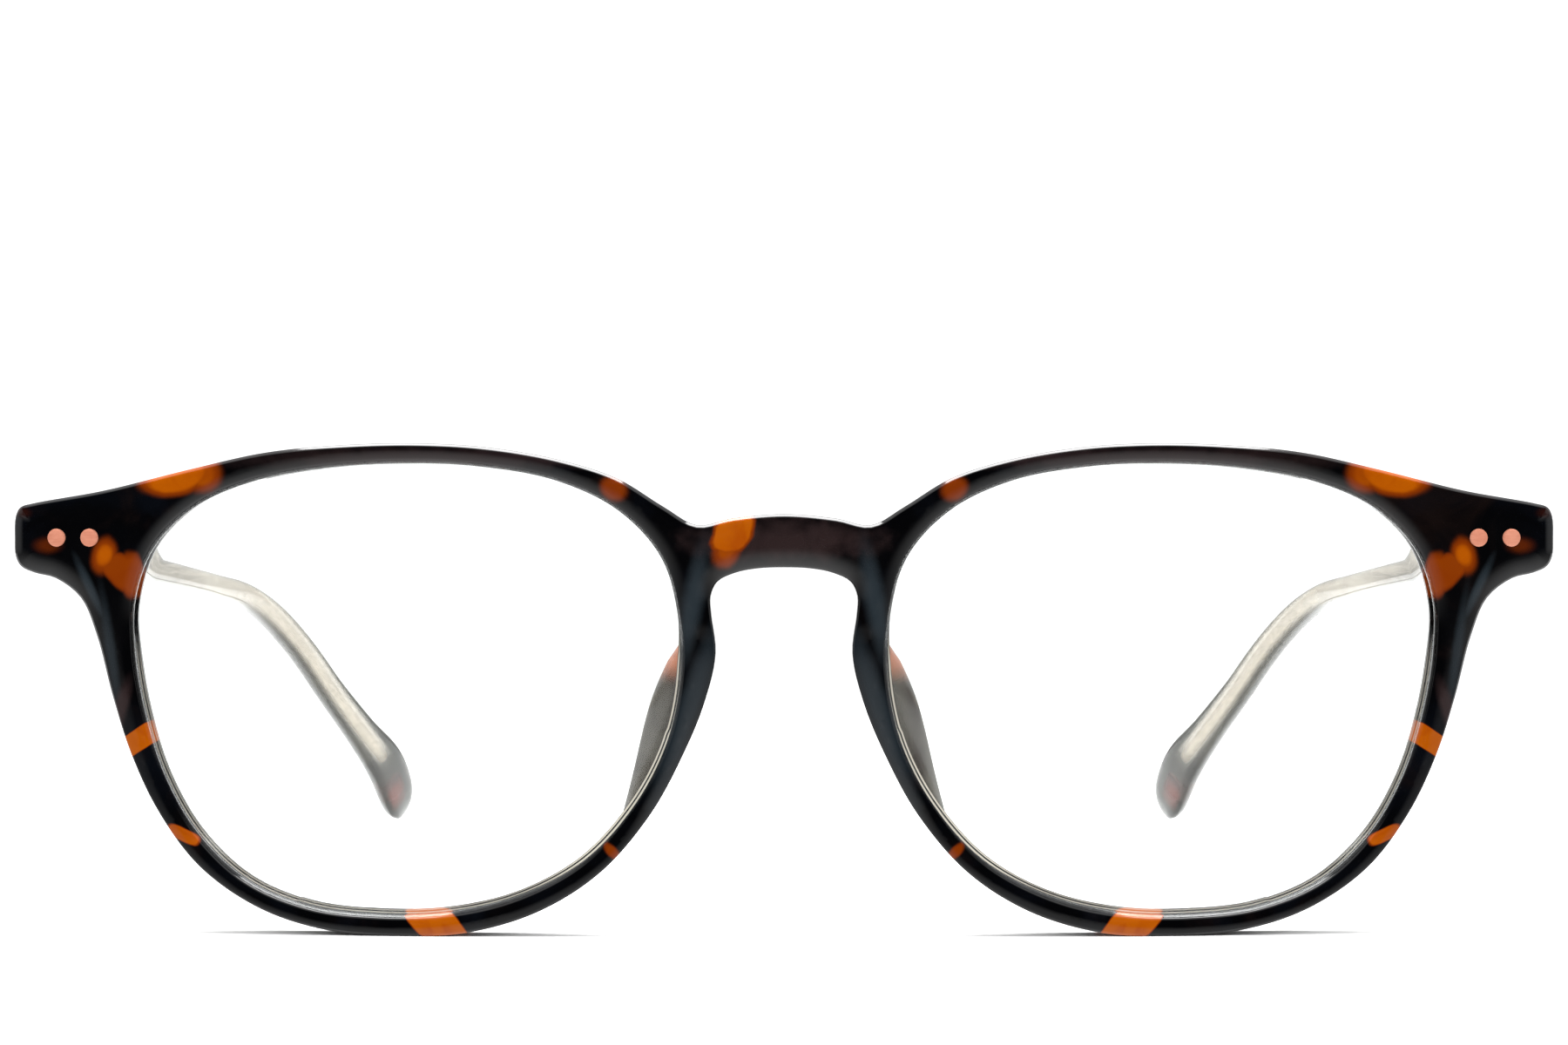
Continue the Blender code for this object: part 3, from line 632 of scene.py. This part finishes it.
def templeAxes(y):
    here, before, after = (Vector((s[1], s[0], s[2])) for s in
                           (templeAt(y), templeAt(y - 0.2), templeAt(y + 0.2)))
    along = (after - before).normalized()
    outward = (Vector((1.0, 0.0, 0.0)) - along * along.x).normalized()
    upward = outward.cross(along)
    twist = math.radians(templeAt(y)[5])
    return (here, along, outward * math.cos(twist) + upward * math.sin(twist),
            upward * math.cos(twist) - outward * math.sin(twist))


def softSection(thickness, height, around, power):
    # a superellipse, nearly flat on its wide faces
    points = []
    for k in range(around):
        angle = 2 * math.pi * k / around
        c, s = math.cos(angle), math.sin(angle)
        points.append((thickness / 2 * math.copysign(abs(c) ** (2 / power), c),
                       height / 2 * math.copysign(abs(s) ** (2 / power), s)))
    return points


def templeRing(y, thickness, height, shape, shift=0.0):
    centre, _, outward, upward = templeAxes(y)
    return [centre + outward * (a - shift) + upward * b
            for a, b in softSection(thickness, height, shape["around"], shape["roundness"])]


def endCaps(ring, along, caps):
    # ever smaller rings that close a rounded end
    centre = sum(ring, Vector()) / len(ring)
    return [[centre + (p - centre) * scale + along * push for p in ring] for scale, push in caps]


def wireShows(y, above):
    # 1 where a point of the temple's surface lies over the core wire, 0 well clear of it
    shape = wireShape
    across = 1.0 - blendStep(shape["height"] * 0.4, shape["height"] * 1.05, abs(above))
    ends = blendStep(shape["from"] - 1.0, shape["from"] + 1.0, y)
    ends *= 1.0 - blendStep(shape["to"] - 2.0, shape["to"] + 1.0, y)
    return float(across * ends)


def inlayShows(y, above):
    # the same for the inlay near the tip, whose glow sits a little low
    shape = inlayShape
    shares = [1.0 - blendStep(size * 0.3, size * 0.6, abs(away)) for size, away in
              ((shape["height"], above + shape["glowLift"]), (shape["length"], y - shape["at"]))]
    return float(shares[0] * shares[1])


def makeTemple(side):
    shape = templeShape
    first, last = templeStations[0][0], templeStations[-1][0]
    count = round((last - first) / shape["step"])
    rings, overWire, overInlay = [], [], []
    for k in range(1, count + 1):
        y = first + (last - first) * k / count
        thickness, height = templeAt(y)[3:5]
        rings.append(templeRing(y, thickness, height, shape))
        section = softSection(thickness, height, shape["around"], shape["roundness"])
        overWire.append([wireShows(y, b) for _, b in section])
        overInlay.append([inlayShows(y, b) for _, b in section])
    thickness, height = templeAt(first)[3:5]
    butt = []
    for insetShare, depthShare in shape["corner"]:
        inset = shape["buttRound"] * insetShare
        depth = frontShape["thickness"] + shape["buttGap"] + shape["buttRound"] * depthShare
        butt.append([Vector((p.x, sag(p.x) + depth, p.z)) for p in
                     templeRing(first, thickness - 2 * inset, height - 2 * inset, shape)])
    caps = endCaps(rings[-1], templeAxes(last)[1], shape["caps"])
    plain = [0.0] * shape["around"]
    start, end = [plain] * len(butt), [plain] * len(caps)
    temple = loftFromGrid(butt + rings + caps, [("overWire", start + overWire + end),
                                                ("overInlay", start + overInlay + end)])
    mirrorTo(temple, side)
    cutAway(temple, makeLeafSlot(side))
    smoothBy(temple, 50.0)
    return temple


def makeLeafSlot(side):
    (x0, x1), (y0, y1), (z0, z1) = (templeSlot[axis] for axis in "xyz")
    inner, outer = sorted((side * x0, side * x1))
    return addBlock((inner, y0 + frontDepth, z0), (outer, y1 + frontDepth, z1))


def makeCoreWire(side):
    shape = wireShape
    first, last = shape["from"], shape["to"]
    count = round((last - first) / shape["step"])
    rings = []
    for k in range(count + 1):
        y = first + (last - first) * k / count
        shift = shape["shift"] * max(0.0, 1.0 - y / shape["fade"])
        rings.append(templeRing(y, shape["thickness"], shape["height"], shape, shift))
    start = endCaps(rings[0], templeAxes(first)[1] * -1.0, shape["caps"])
    end = endCaps(rings[-1], templeAxes(last)[1], shape["caps"])
    wire = loftFromGrid(start[::-1] + rings + end)
    mirrorTo(wire, side)
    smoothBy(wire, 60.0)
    return wire


def makeTipInlay(side):
    shape = inlayShape
    centre, along, outward, upward = templeAxes(shape["at"])
    face = templeAt(shape["at"])[3] / 2 - shape["below"]
    length, height = shape["length"] / 2, shape["height"] / 2
    inlay = addBlock((face - shape["depth"], -length, -height), (face, length, height))
    bevelAlong(inlay, 0, shape["corner"], 6)
    roundEdges(inlay, shape["edge"], 3, 35.0)
    turn = Matrix((outward, along, upward)).transposed().to_4x4()
    inlay.matrix_world = Matrix.Translation((centre + Vector((0.0, frontDepth, 0.0))) * mm) @ turn
    applyPlace(inlay)
    mirrorTo(inlay, side)
    smoothBy(inlay, 40.0)
    return inlay


# Rivets, hinges and screws

def editFaces(piece, direction):
    # into edit mode with only the faces that look straight up (1) or down (-1) selected
    pickOnly(piece)
    setMode("EDIT")
    bpy.ops.mesh.select_mode(type="FACE")
    bpy.ops.mesh.select_all(action="DESELECT")
    setMode("OBJECT")
    for face in piece.data.polygons:
        face.select = face.normal.z * direction > 0.9
    setMode("EDIT")


def makeRivet(side, x):
    shape = rivetShape
    rivet = addMesh(bpy.ops.mesh.primitive_cylinder_add, vertices=48, depth=shape["headLength"] * mm,
                    radius=shape["headRadius"] * mm)
    editFaces(rivet, -1)
    bpy.ops.mesh.inset(thickness=(shape["headRadius"] - shape["shankRadius"]) * mm)
    bpy.ops.mesh.extrude_region_move(
        TRANSFORM_OT_translate={"value": (0.0, 0.0, -(shape["length"] - shape["headLength"]) * mm)})
    editFaces(rivet, 1)
    for share, rise in shape["crownSteps"]:
        bpy.ops.mesh.inset(thickness=shape["headRadius"] * share * mm)
        bpy.ops.transform.translate(value=(0.0, 0.0, shape["crown"] * rise * mm))
    setMode("OBJECT")
    turnForward(rivet, side * x, shape["headLength"] / 2)
    smoothBy(rivet, 30.0)
    return rivet


def refinedCopy(node, width):
    # the CAD solid's own shape, merged, with its small edges rounded over
    copy = addObject(node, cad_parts[node].data.copy())
    copy.matrix_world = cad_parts[node].matrix_world
    editAll(copy)
    bpy.ops.mesh.remove_doubles(threshold=0.001 * mm)
    bpy.ops.mesh.dissolve_limited(angle_limit=math.radians(1.0))
    setMode("OBJECT")
    roundEdges(copy, width, 2, 40.0)
    smoothBy(copy, 50.0)
    return copy


print("shapes ready")


# Shader helpers: a value is a socket or a constant, and a node joins the tree of its first socket

def feed(socket, value):
    if isinstance(value, bpy.types.NodeSocket):
        socket.id_data.links.new(value, socket)
    else:
        socket.default_value = value


def addNode(kind, values, **settings):
    # values are listed in the order of the inputs, or by their index or label
    values = values if isinstance(values, dict) else dict(enumerate(values))
    tree = next(value.id_data for value in values.values() if isinstance(value, bpy.types.NodeSocket))
    node = tree.nodes.new("ShaderNode" + kind)
    for label, setting in settings.items():
        setattr(node, label, setting)
    for label, value in values.items():
        feed(node.inputs[label], value)
    return node.outputs


def calc(operation, *values, clamp=False):
    return addNode("Math", values, operation=operation, use_clamp=clamp)[0]


plus, minus, times, ratio, power, larger, absolute = (partial(calc, kind) for kind in (
    "ADD", "SUBTRACT", "MULTIPLY", "DIVIDE", "POWER", "MAXIMUM", "ABSOLUTE"))


def ramp(value, low, high, start=0.0, end=1.0):
    return addNode("MapRange", (value, low, high, start, end), interpolation_type="SMOOTHSTEP")[0]


def mixColour(share, first, second):
    return addNode("Mix", {0: share, 6: first, 7: second}, data_type="RGBA")[2]


def noiseAt(vector, scale, detail, rough, distortion=0.0):
    return addNode("TexNoise", dict(Vector=vector, Scale=scale, Detail=detail, Roughness=rough,
                                    Distortion=distortion))["Fac"]


def axesOf(vector):
    return addNode("SeparateXYZ", [vector])


def marked(where, label):
    node = where.id_data.nodes.new("ShaderNodeAttribute")
    node.attribute_name = label
    return node.outputs["Fac"]


def place(group, where, **values):
    return addNode("Group", dict(values, Vector=where), node_tree=groups[group])


def cloudAt(where, values):
    return place("cloud", where, **values)["Mask"]


def newGroup(name, outputs, **inputs):
    # a group of a vector and these values, with number outputs
    tree = bpy.data.node_groups.new(name, "ShaderNodeTree")
    for label, value in dict(Vector=(0.0, 0.0, 0.0), **inputs).items():
        kind = "NodeSocketFloat" if isinstance(value, float) else "NodeSocketVector"
        socket = tree.interface.new_socket(name=label, in_out="INPUT", socket_type=kind)
        socket.default_value = value
    for label in outputs:
        tree.interface.new_socket(name=label, in_out="OUTPUT", socket_type="NodeSocketFloat")
    return tree, tree.nodes.new("NodeGroupInput").outputs, tree.nodes.new("NodeGroupOutput").inputs


def patchGroup():
    # a rounded four-sided patch in millimetres of x and z, with a wandering soft edge
    tree, given, result = newGroup("amberPatch", ["Mask"], CentreX=0.0, CentreZ=0.0, HalfLength=2.0,
                                   HalfWidth=1.0, Angle=0.0, Slant=0.0, Soft=0.15, Wander=0.2,
                                   Square=3.0)
    x, _, z = axesOf(given["Vector"])
    x = minus(times(x, 1000.0), given["CentreX"])
    z = minus(times(z, 1000.0), given["CentreZ"])
    c, s = calc("COSINE", given["Angle"]), calc("SINE", given["Angle"])
    u, v = plus(times(x, c), times(z, s)), minus(times(z, c), times(x, s))
    u = minus(u, times(v, given["Slant"]))
    u, v = (power(absolute(ratio(way, given[half])), given["Square"])
            for way, half in ((u, "HalfLength"), (v, "HalfWidth")))
    reach = power(plus(u, v), ratio(1.0, given["Square"]))
    wander = minus(noiseAt(given["Vector"], 700.0, 2.0, 0.5), 0.5)
    reach = plus(reach, times(wander, given["Wander"]))
    feed(result["Mask"], ramp(reach, minus(1.0, given["Soft"]), plus(1.0, given["Soft"]), 1.0, 0.0))
    return tree


def cloudGroup():
    # slow drifting cloud in the sheet the piece was cut from
    tree, given, result = newGroup("sheetCloud", ["Mask"], Scale=60.0, Low=0.4, High=0.7)
    cloud = noiseAt(given["Vector"], given["Scale"], 4.0, 0.55, 1.2)
    feed(result["Mask"], ramp(cloud, given["Low"], given["High"]))
    return tree


def polishGroup():
    # faint haze and wipe marks of a hand-polished surface
    tree, given, result = newGroup("polishHaze", ["Roughness", "Height"], Roughness=0.08, Haze=0.06,
                                   Scale=300.0)
    broad = noiseAt(given["Vector"], given["Scale"], 5.0, 0.6)
    fine = noiseAt(given["Vector"], times(given["Scale"], 7.0), 2.0, 0.5)
    haze = times(ramp(broad, 0.42, 0.72), given["Haze"])
    feed(result["Roughness"], plus(given["Roughness"], haze, clamp=True))
    feed(result["Height"], plus(times(broad, 0.8), times(fine, 0.2)))
    return tree


def brushGroup():
    # fine lines of brushed or drawn metal, with tarnish in patches
    tree, given, result = newGroup("brushedLines", ["Tone", "Roughness", "Height"],
                                   Stretch=(1.0, 1.0, 12.0), Scale=1500.0, Roughness=0.3, Spread=0.15)
    stretched = addNode("VectorMath", (given["Vector"], given["Stretch"]), operation="MULTIPLY")[0]
    lines = noiseAt(stretched, given["Scale"], 3.0, 0.6)
    patches = noiseAt(given["Vector"], 250.0, 3.0, 0.5)
    feed(result["Tone"], ramp(plus(times(lines, 0.5), times(patches, 0.5)), 0.35, 0.65))
    rough = times(minus(lines, 0.5), given["Spread"])
    feed(result["Roughness"], plus(given["Roughness"], rough, clamp=True))
    feed(result["Height"], lines)
    return tree


groups = {"patch": patchGroup(), "cloud": cloudGroup(), "polish": polishGroup(), "brush": brushGroup()}


def newMaterial(name, **constants):
    material = bpy.data.materials.new(name)
    material.use_nodes = True
    tree = material.node_tree
    shader = tree.nodes["Principled BSDF"]
    for label, value in constants.items():
        shader.inputs[label.replace("_", " ")].default_value = value
    return material, shader.inputs, tree.nodes.new("ShaderNodeTexCoord").outputs["Object"]


def addBump(surface, height, distance, strength):
    bump = addNode("Bump", dict(Height=height, Distance=distance * mm, Strength=strength))
    feed(surface["Normal"], bump[0])


def addPolish(surface, where, look):
    marks = place("polish", where, **look["haze"])
    feed(surface["Roughness"], marks["Roughness"])
    if "bump" in look:
        addBump(surface, marks["Height"], *look["bump"])


def letLightThrough(material, share):
    # light that falls on other pieces passes straight through, without a dark shadow
    nodes = material.node_tree.nodes
    paths = nodes.new("ShaderNodeLightPath").outputs
    clear = nodes.new("ShaderNodeBsdfTransparent")
    clear.inputs["Color"].default_value = (share, share, share, 1.0)
    passing = larger(paths["Is Shadow Ray"], paths["Is Diffuse Ray"])
    blend = addNode("MixShader", (passing, nodes["Principled BSDF"].outputs[0], clear.outputs[0]))
    feed(nodes["Material Output"].inputs["Surface"], blend[0])


def rgb(red, green, blue):
    # a colour picked on a screen, as the linear values that shaders take
    return tuple(((c + 0.055) / 1.055) ** 2.4 if c > 0.04 else c / 12.92
                 for c in (red / 255, green / 255, blue / 255)) + (1.0,)


# Tortoise acetate: most patches lie on both sides alike. A row is its level (1 is clear amber, about
# 0.5 is rust showing through the black), then the columns, in millimetres and radians

patchColumns = ("CentreX", "CentreZ", "HalfLength", "HalfWidth", "Angle", "Slant", "Soft", "Wander",
                "Square")
tortoise = {
    # light colour of the painted highlight on the lens lip
    "lip": rgb(204, 196, 182),
    "black": rgb(2, 2, 3),
    "navy": rgb(7, 10, 16),
    "brown": rgb(20, 12, 10),
    "rust": rgb(112, 42, 2),
    "amber": rgb(160, 76, 1),
    "amberDeep": rgb(144, 60, 1),
    # colour of the painted reflections on the black
    "slate": rgb(34, 41, 46),
    "umber": rgb(46, 34, 34),
    "navyShare": 0.7,
    "brownShare": 0.6,
    "navyCloud": dict(Scale=70.0, Low=0.45, High=0.7),
    "brownCloud": dict(Scale=110.0, Low=0.5, High=0.75),
    "deepCloud": dict(Scale=230.0, Low=0.4, High=0.75),
    "haze": dict(Roughness=0.07, Haze=0.05, Scale=260.0),
    "bump": (0.006, 0.5),             # depth and strength, here and in the other materials
    "patches": {
        "upperRim": (1.0, 55.2, 41.5, 3.1, 1.6, -0.2, 0.0, 0.42, 0.12, 1.8),
        "upperRimEnd": (0.68, 52.7, 41.6, 1.5, 1.4, -0.2, 0.0, 0.6, 0.15, 2.2),
        "endLobe": (0.85, 61.9, 34.3, 1.35, 0.95, 1.8, 0.0, 0.75, 0.3, 2.0),
        "rimLobe": (0.56, 59.3, 32.5, 2.0, 0.95, 1.5, 0.0, 0.3, 0.2, 3.0),
        "lobeFill": (0.55, 60.3, 33.4, 1.4, 1.0, 0.3, 0.0, 0.35, 0.2, 2.6),
        "lobeFoot": (0.55, 60.8, 32.7, 2.3, 0.85, 0.8, 0.0, 0.35, 0.25, 2.4),
        "rimBand": (1.0, 58.7, 17.5, 2.2, 0.95, -0.58, 0.0, 0.1, 0.1, 5.0),
        "lowerRim": (1.0, 54.5, 8.95, 1.55, 0.55, 0.45, 0.0, 0.2, 0.15, 3.0),
        "bottomRim": (1.0, 31.3, 1.1, 2.3, 1.3, 0.0, 0.8, 0.08, 0.1, 5.0),
        "nasalTop": (0.44, 15.3, 40.2, 1.2, 1.0, 0.6, 0.0, 0.5, 0.3, 2.0),
        "nasalLow": (0.5, 15.4, 7.7, 0.9, 0.45, 0.8, 0.0, 0.5, 0.3, 2.0),
        "endGlow": (0.22, 67.2, 35.2, 1.2, 0.7, 0.0, 0.0, 0.7, 0.3, 2.0),
        "endSpark": (0.09, 69.6, 38.2, 0.8, 0.5, 0.0, 0.0, 0.7, 0.3, 2.0),
    },
    # only on the wearer's right of the bridge
    "bridgePatches": {
        "bridge": (0.95, -4.6, 36.3, 1.7, 1.8, 0.0, 0.3, 0.22, 0.35, 2.6),
        "bridgeFoot": (0.66, -5.1, 35.0, 1.1, 1.6, 0.0, 0.2, 0.55, 0.3, 2.2),
    },
    # blue-grey painted reflections on the black, along the end pieces and beside the nose, then brown
    # shades in the black
    "slateReflections": {
        "endPiece": (1.0, 63.2, 31.2, 2.6, 0.38, 1.12, 0.0, 0.7, 0.3, 2.0),
        "endPieceLow": (0.7, 61.3, 25.6, 4.6, 0.45, 1.42, 0.0, 0.7, 0.3, 2.0),
        "scoop": (0.8, 8.6, 20.5, 7.5, 0.9, -1.22, 0.0, 0.7, 0.3, 2.0),
        "nasal": (1.0, 8.2, 30.0, 4.5, 0.8, 1.75, 0.0, 0.7, 0.4, 2.0),
    },
    "umberPatches": {
        "bridge": (0.7, 1.2, 35.5, 5.6, 1.4, 0.0, 0.0, 0.8, 1.6, 2.0),
        "rim": (0.8, 60.4, 20.3, 2.4, 0.6, 1.85, 0.0, 0.6, 0.3, 2.0),
        # the band along the top rim is a painted reflection of the pale floor in the rim's lower bevel
        "topRim": (0.5, 31.0, 43.0, 16.0, 0.8, 0.0, 0.0, 0.7, 0.9, 2.0),
    },
}


def patchLevels(patches, where):
    level = 0.0
    for strength, *values in patches.values():
        mask = place("patch", where, **dict(zip(patchColumns, values)))["Mask"]
        level = larger(level, times(mask, strength))
    return level


def tortoiseMaterial():
    look = tortoise
    material, surface, where = newMaterial("tortoiseAcetate", IOR=1.5)
    x, y, z = axesOf(where)
    mirrored = addNode("CombineXYZ", (absolute(x), y, z))[0]
    level = larger(patchLevels(look["patches"], mirrored), patchLevels(look["bridgePatches"], where))
    navy = times(cloudAt(mirrored, look["navyCloud"]), look["navyShare"])
    brown = times(cloudAt(where, look["brownCloud"]), look["brownShare"])
    colour = mixColour(navy, look["black"], look["navy"])
    colour = mixColour(brown, colour, look["brown"])
    # painted reflections in blue-grey
    colour = mixColour(patchLevels(look["slateReflections"], mirrored), colour, look["slate"])
    # brown shades in the black; the band along the top rim among them is a painted reflection
    colour = mixColour(patchLevels(look["umberPatches"], mirrored), colour, look["umber"])
    amber = mixColour(cloudAt(mirrored, look["deepCloud"]), look["amber"], look["amberDeep"])
    colour = mixColour(ramp(level, 0.0, 0.5), colour, look["rust"])
    colour = mixColour(ramp(level, 0.45, 0.9), colour, amber)
    # painted highlight along the lip of the lens groove
    lip = ramp(marked(where, "lipHighlightMask"), 0.1, 0.9)
    feed(surface["Base Color"], mixColour(lip, colour, look["lip"]))
    addPolish(surface, where, look)
    return material


crystal = {
    "clear": rgb(222, 216, 204),
    "smoky": rgb(54, 55, 49),
    "dusk": rgb(40, 39, 35),
    "glow": rgb(110, 40, 22),         # the inlay's copper, seen through the acetate
    "streakEnds": (30.0, 80.0),
    "streaks": dict(Scale=1300.0, Low=0.4, High=0.65),
    "grain": dict(Scale=420.0, Low=0.3, High=0.7),
    "haze": dict(Roughness=0.08, Haze=0.12, Scale=220.0),
    "bump": (0.02, 0.6),
    "passes": 0.75,                   # share of light let through to other pieces
}


def crystalMaterial():
    look = crystal
    material, surface, where = newMaterial("crystalAcetate", Transmission_Weight=0.6, IOR=1.48)
    stretched = addNode("Mapping", dict(Vector=where, Scale=(1.0, 0.012, 1.0)))[0]
    streaks = cloudAt(stretched, look["streaks"])
    along = axesOf(where)[1]
    near, far = ((frontDepth + y) * mm for y in look["streakEnds"])
    streaky = times(minus(1.0, streaks), ramp(along, near, far, 0.9, 0.15))
    clear = times(marked(where, "overWire"), minus(1.0, streaky))
    clear = times(clear, ramp(along, near, far, 0.5, 1.0))
    shade = mixColour(cloudAt(where, look["grain"]), look["smoky"], look["dusk"])
    shade = mixColour(marked(where, "overInlay"), shade, look["glow"])
    feed(surface["Base Color"], mixColour(clear, shade, look["clear"]))
    addPolish(surface, where, look)
    letLightThrough(material, look["passes"])
    return material


nosePad = {
    "body": rgb(94, 91, 84),
    "grey": rgb(60, 54, 51),
    "blush": rgb(196, 126, 96),
    "blushHeights": (22.4, 24.8),
    "cloud": dict(Scale=150.0, Low=0.38, High=0.68),
    "haze": dict(Roughness=0.1, Haze=0.1, Scale=260.0),
    "bump": (0.01, 0.5),
}


def padMaterial():
    look = nosePad
    material, surface, where = newMaterial("padAcetate", Transmission_Weight=0.35, IOR=1.48)
    cloud = cloudAt(where, look["cloud"])
    height = times(axesOf(where)[2], 1000.0)
    blush = times(ramp(height, *look["blushHeights"]), ramp(cloud, -1.6, 0.6))
    body = mixColour(cloud, look["body"], look["grey"])
    feed(surface["Base Color"], mixColour(blush, body, look["blush"]))
    addPolish(surface, where, look)
    return material


lensLook = {
    "tint": rgb(252, 254, 253),
    "smear": rgb(244, 248, 248),
    "wipes": dict(Scale=45.0, Low=0.5, High=0.8),
    "haze": dict(Roughness=0.0, Haze=0.02, Scale=60.0),
    "passes": 0.97,
}


def lensMaterial():
    look = lensLook
    material, surface, where = newMaterial("lensClear", Transmission_Weight=1.0, IOR=1.25)
    feed(surface["Base Color"], mixColour(cloudAt(where, look["wipes"]), look["tint"], look["smear"]))
    addPolish(surface, where, look)
    letLightThrough(material, look["passes"])
    return material


metals = {
    "roseCopper": dict(light=rgb(220, 148, 122), dark=rgb(206, 130, 104), metallic=0.3,
                       rough=0.45, stretch=(1.0, 1.0, 6.0), bump=0.003),
    "agedCopper": dict(light=rgb(150, 88, 70), dark=rgb(116, 60, 46), metallic=0.3,
                       rough=0.5, stretch=(1.0, 1.0, 6.0), bump=0.003),
    "hingeSteel": dict(light=rgb(206, 200, 188), dark=rgb(150, 145, 136), metallic=1.0,
                       rough=0.28, stretch=(1.0, 1.0, 14.0), bump=0.004),
    "champagneWire": dict(light=rgb(206, 196, 178), dark=rgb(176, 164, 144), metallic=0.45,
                          rough=0.4, stretch=(1.0, 0.05, 1.0), bump=0.004),
}


def metalMaterial(name):
    look = metals[name]
    material, surface, where = newMaterial(name, Metallic=look["metallic"])
    lines = place("brush", where, Stretch=look["stretch"], Scale=1200.0, Roughness=look["rough"],
                  Spread=0.2)
    feed(surface["Base Color"], mixColour(lines["Tone"], look["dark"], look["light"]))
    feed(surface["Roughness"], lines["Roughness"])
    addBump(surface, lines["Height"], look["bump"], 0.6)
    return material


tortoiseFinish = tortoiseMaterial()
crystalFinish = crystalMaterial()
padFinish = padMaterial()
lensFinish = lensMaterial()
copperFinish, inlayFinish, steelFinish, wireFinish = (metalMaterial(metal) for metal in metals)
print("materials ready")


# Build

finishPiece(makeFront(), tortoiseFinish, "front", "tortoise", "front_frame")
print("front ready")

for name, side in sides.items():
    finishPiece(makeLens(side), lensFinish, "front", "lens", name + "_lens")
    finishPiece(makeNosePad(side), padFinish, "front", "pad", name + "_nose_pad")
    for spot, x in rivetPlaces.items():
        finishPiece(makeRivet(side, x), copperFinish, "front", "copper", name + "_rivet_" + spot)
    for node, width in ((name + "_front_hinge", 0.08), (name + "_hinge_screw", 0.06)):
        finishPiece(refinedCopy(node, width), steelFinish, "front", "steel", node)
    print(name, "front fittings ready")

    body = name + "_temple"
    finishPiece(makeTemple(side), crystalFinish, body, "crystal", body)
    finishPiece(refinedCopy(body + "_hinge", 0.08), steelFinish, body, "steel", body + "_hinge")
    finishPiece(makeCoreWire(side), wireFinish, body, "wire", name + "_core_wire")
    finishPiece(makeTipInlay(side), inlayFinish, body, "copper", name + "_tip_inlay")
    print(name, "temple ready")


# Floor, light and camera

studio = {
    "floorFrom": (-0.4, -0.07), "floorTo": (0.4, 0.4),
    "floorTone": (0.8, 0.8, 0.8, 1.0),
    "behind": 0.9, "front": 0.012, "above": 1.3, "below": 2.0, "beside": 0.6,
    "seen": 1.3,
    "lightHeight": 0.6, "lightSize": 0.45, "lightPower": 8.0,
    "fillPlace": (0.0, -0.6, 0.25), "fillTilt": 67.0, "fillSize": 0.5, "fillPower": 3.4,
    "cameraBack": 0.300, "cameraHeight": 0.0343, "cameraTilt": 0.56, "lens": 76.86,
}


def makeFloor():
    (x0, y0), (x1, y1) = studio["floorFrom"], studio["floorTo"]
    floor = addMesh(bpy.ops.mesh.primitive_plane_add, size=1.0)
    floor.name = "studioFloor"
    floor.dimensions = (x1 - x0, y1 - y0, 0.0)
    floor.location = ((x0 + x1) / 2, (y0 + y1) / 2, floorHeight * mm)
    applyPlace(floor)
    material = bpy.data.materials.new("paleFloor")
    material.use_nodes = True
    surface = material.node_tree.nodes["Principled BSDF"].inputs
    surface["Base Color"].default_value = studio["floorTone"]
    surface["Roughness"].default_value = 0.9
    surface["Specular IOR Level"].default_value = 0.1
    floor.data.materials.append(material)


def makeWorld():
    world = bpy.data.worlds.new("studio")
    world.use_nodes = True
    bpy.context.scene.world = world
    nodes = world.node_tree.nodes
    x, y, z = axesOf(nodes.new("ShaderNodeTexCoord").outputs["Generated"])
    behind = ramp(y, 0.0, 0.5, studio["front"], studio["behind"])
    above = ramp(z, 0.55, 0.8, 0.0, studio["above"])
    below = times(times(z, -1.0, clamp=True), studio["below"])
    beside = times(ramp(absolute(x), 0.86, 0.97, 0.0, studio["beside"]), ramp(z, -0.25, 0.0))
    paths = nodes.new("ShaderNodeLightPath").outputs
    # rays that leave a lens forwards or backwards meet the backdrop that the camera sees
    ahead = larger(ramp(y, -0.3, -0.6), ramp(y, 0.8, 0.95))
    seen = larger(paths["Is Camera Ray"], times(paths["Is Transmission Ray"], ahead))
    level = larger(larger(behind, above), larger(below, beside))
    chosen = addNode("Mix", {0: seen, 2: level, 3: studio["seen"]})[0]
    feed(nodes["Background"].inputs["Strength"], chosen)
    nodes["Background"].inputs["Color"].default_value = (1.0, 1.0, 1.0, 1.0)


def addLamp(name, width, watts, location, tilt=0.0):
    light = bpy.data.lights.new(name, "AREA")
    light.shape = "SQUARE"
    light.size = width
    light.energy = watts
    lamp = addObject(name, light)
    lamp.location = location
    lamp.rotation_euler = (math.radians(tilt), 0.0, 0.0)
    return lamp


def makeCamera():
    lens = bpy.data.cameras.new("studioCamera")
    lens.lens = studio["lens"]
    lens.clip_start = 0.01
    camera = addObject("studioCamera", lens)
    camera.location = (0.0, frontDepth * mm - studio["cameraBack"], studio["cameraHeight"])
    camera.rotation_euler = (math.radians(90.0 + studio["cameraTilt"]), 0.0, 0.0)
    bpy.context.scene.camera = camera


makeFloor()
makeWorld()
addLamp("overheadSoftbox", studio["lightSize"], studio["lightPower"], (0.0, 0.0, studio["lightHeight"]))
fill = addLamp("frontFill", studio["fillSize"], studio["fillPower"], studio["fillPlace"],
               studio["fillTilt"])
fill.visible_glossy = False
makeCamera()
bpy.context.scene.view_settings.view_transform = "Standard"
print("studio ready")
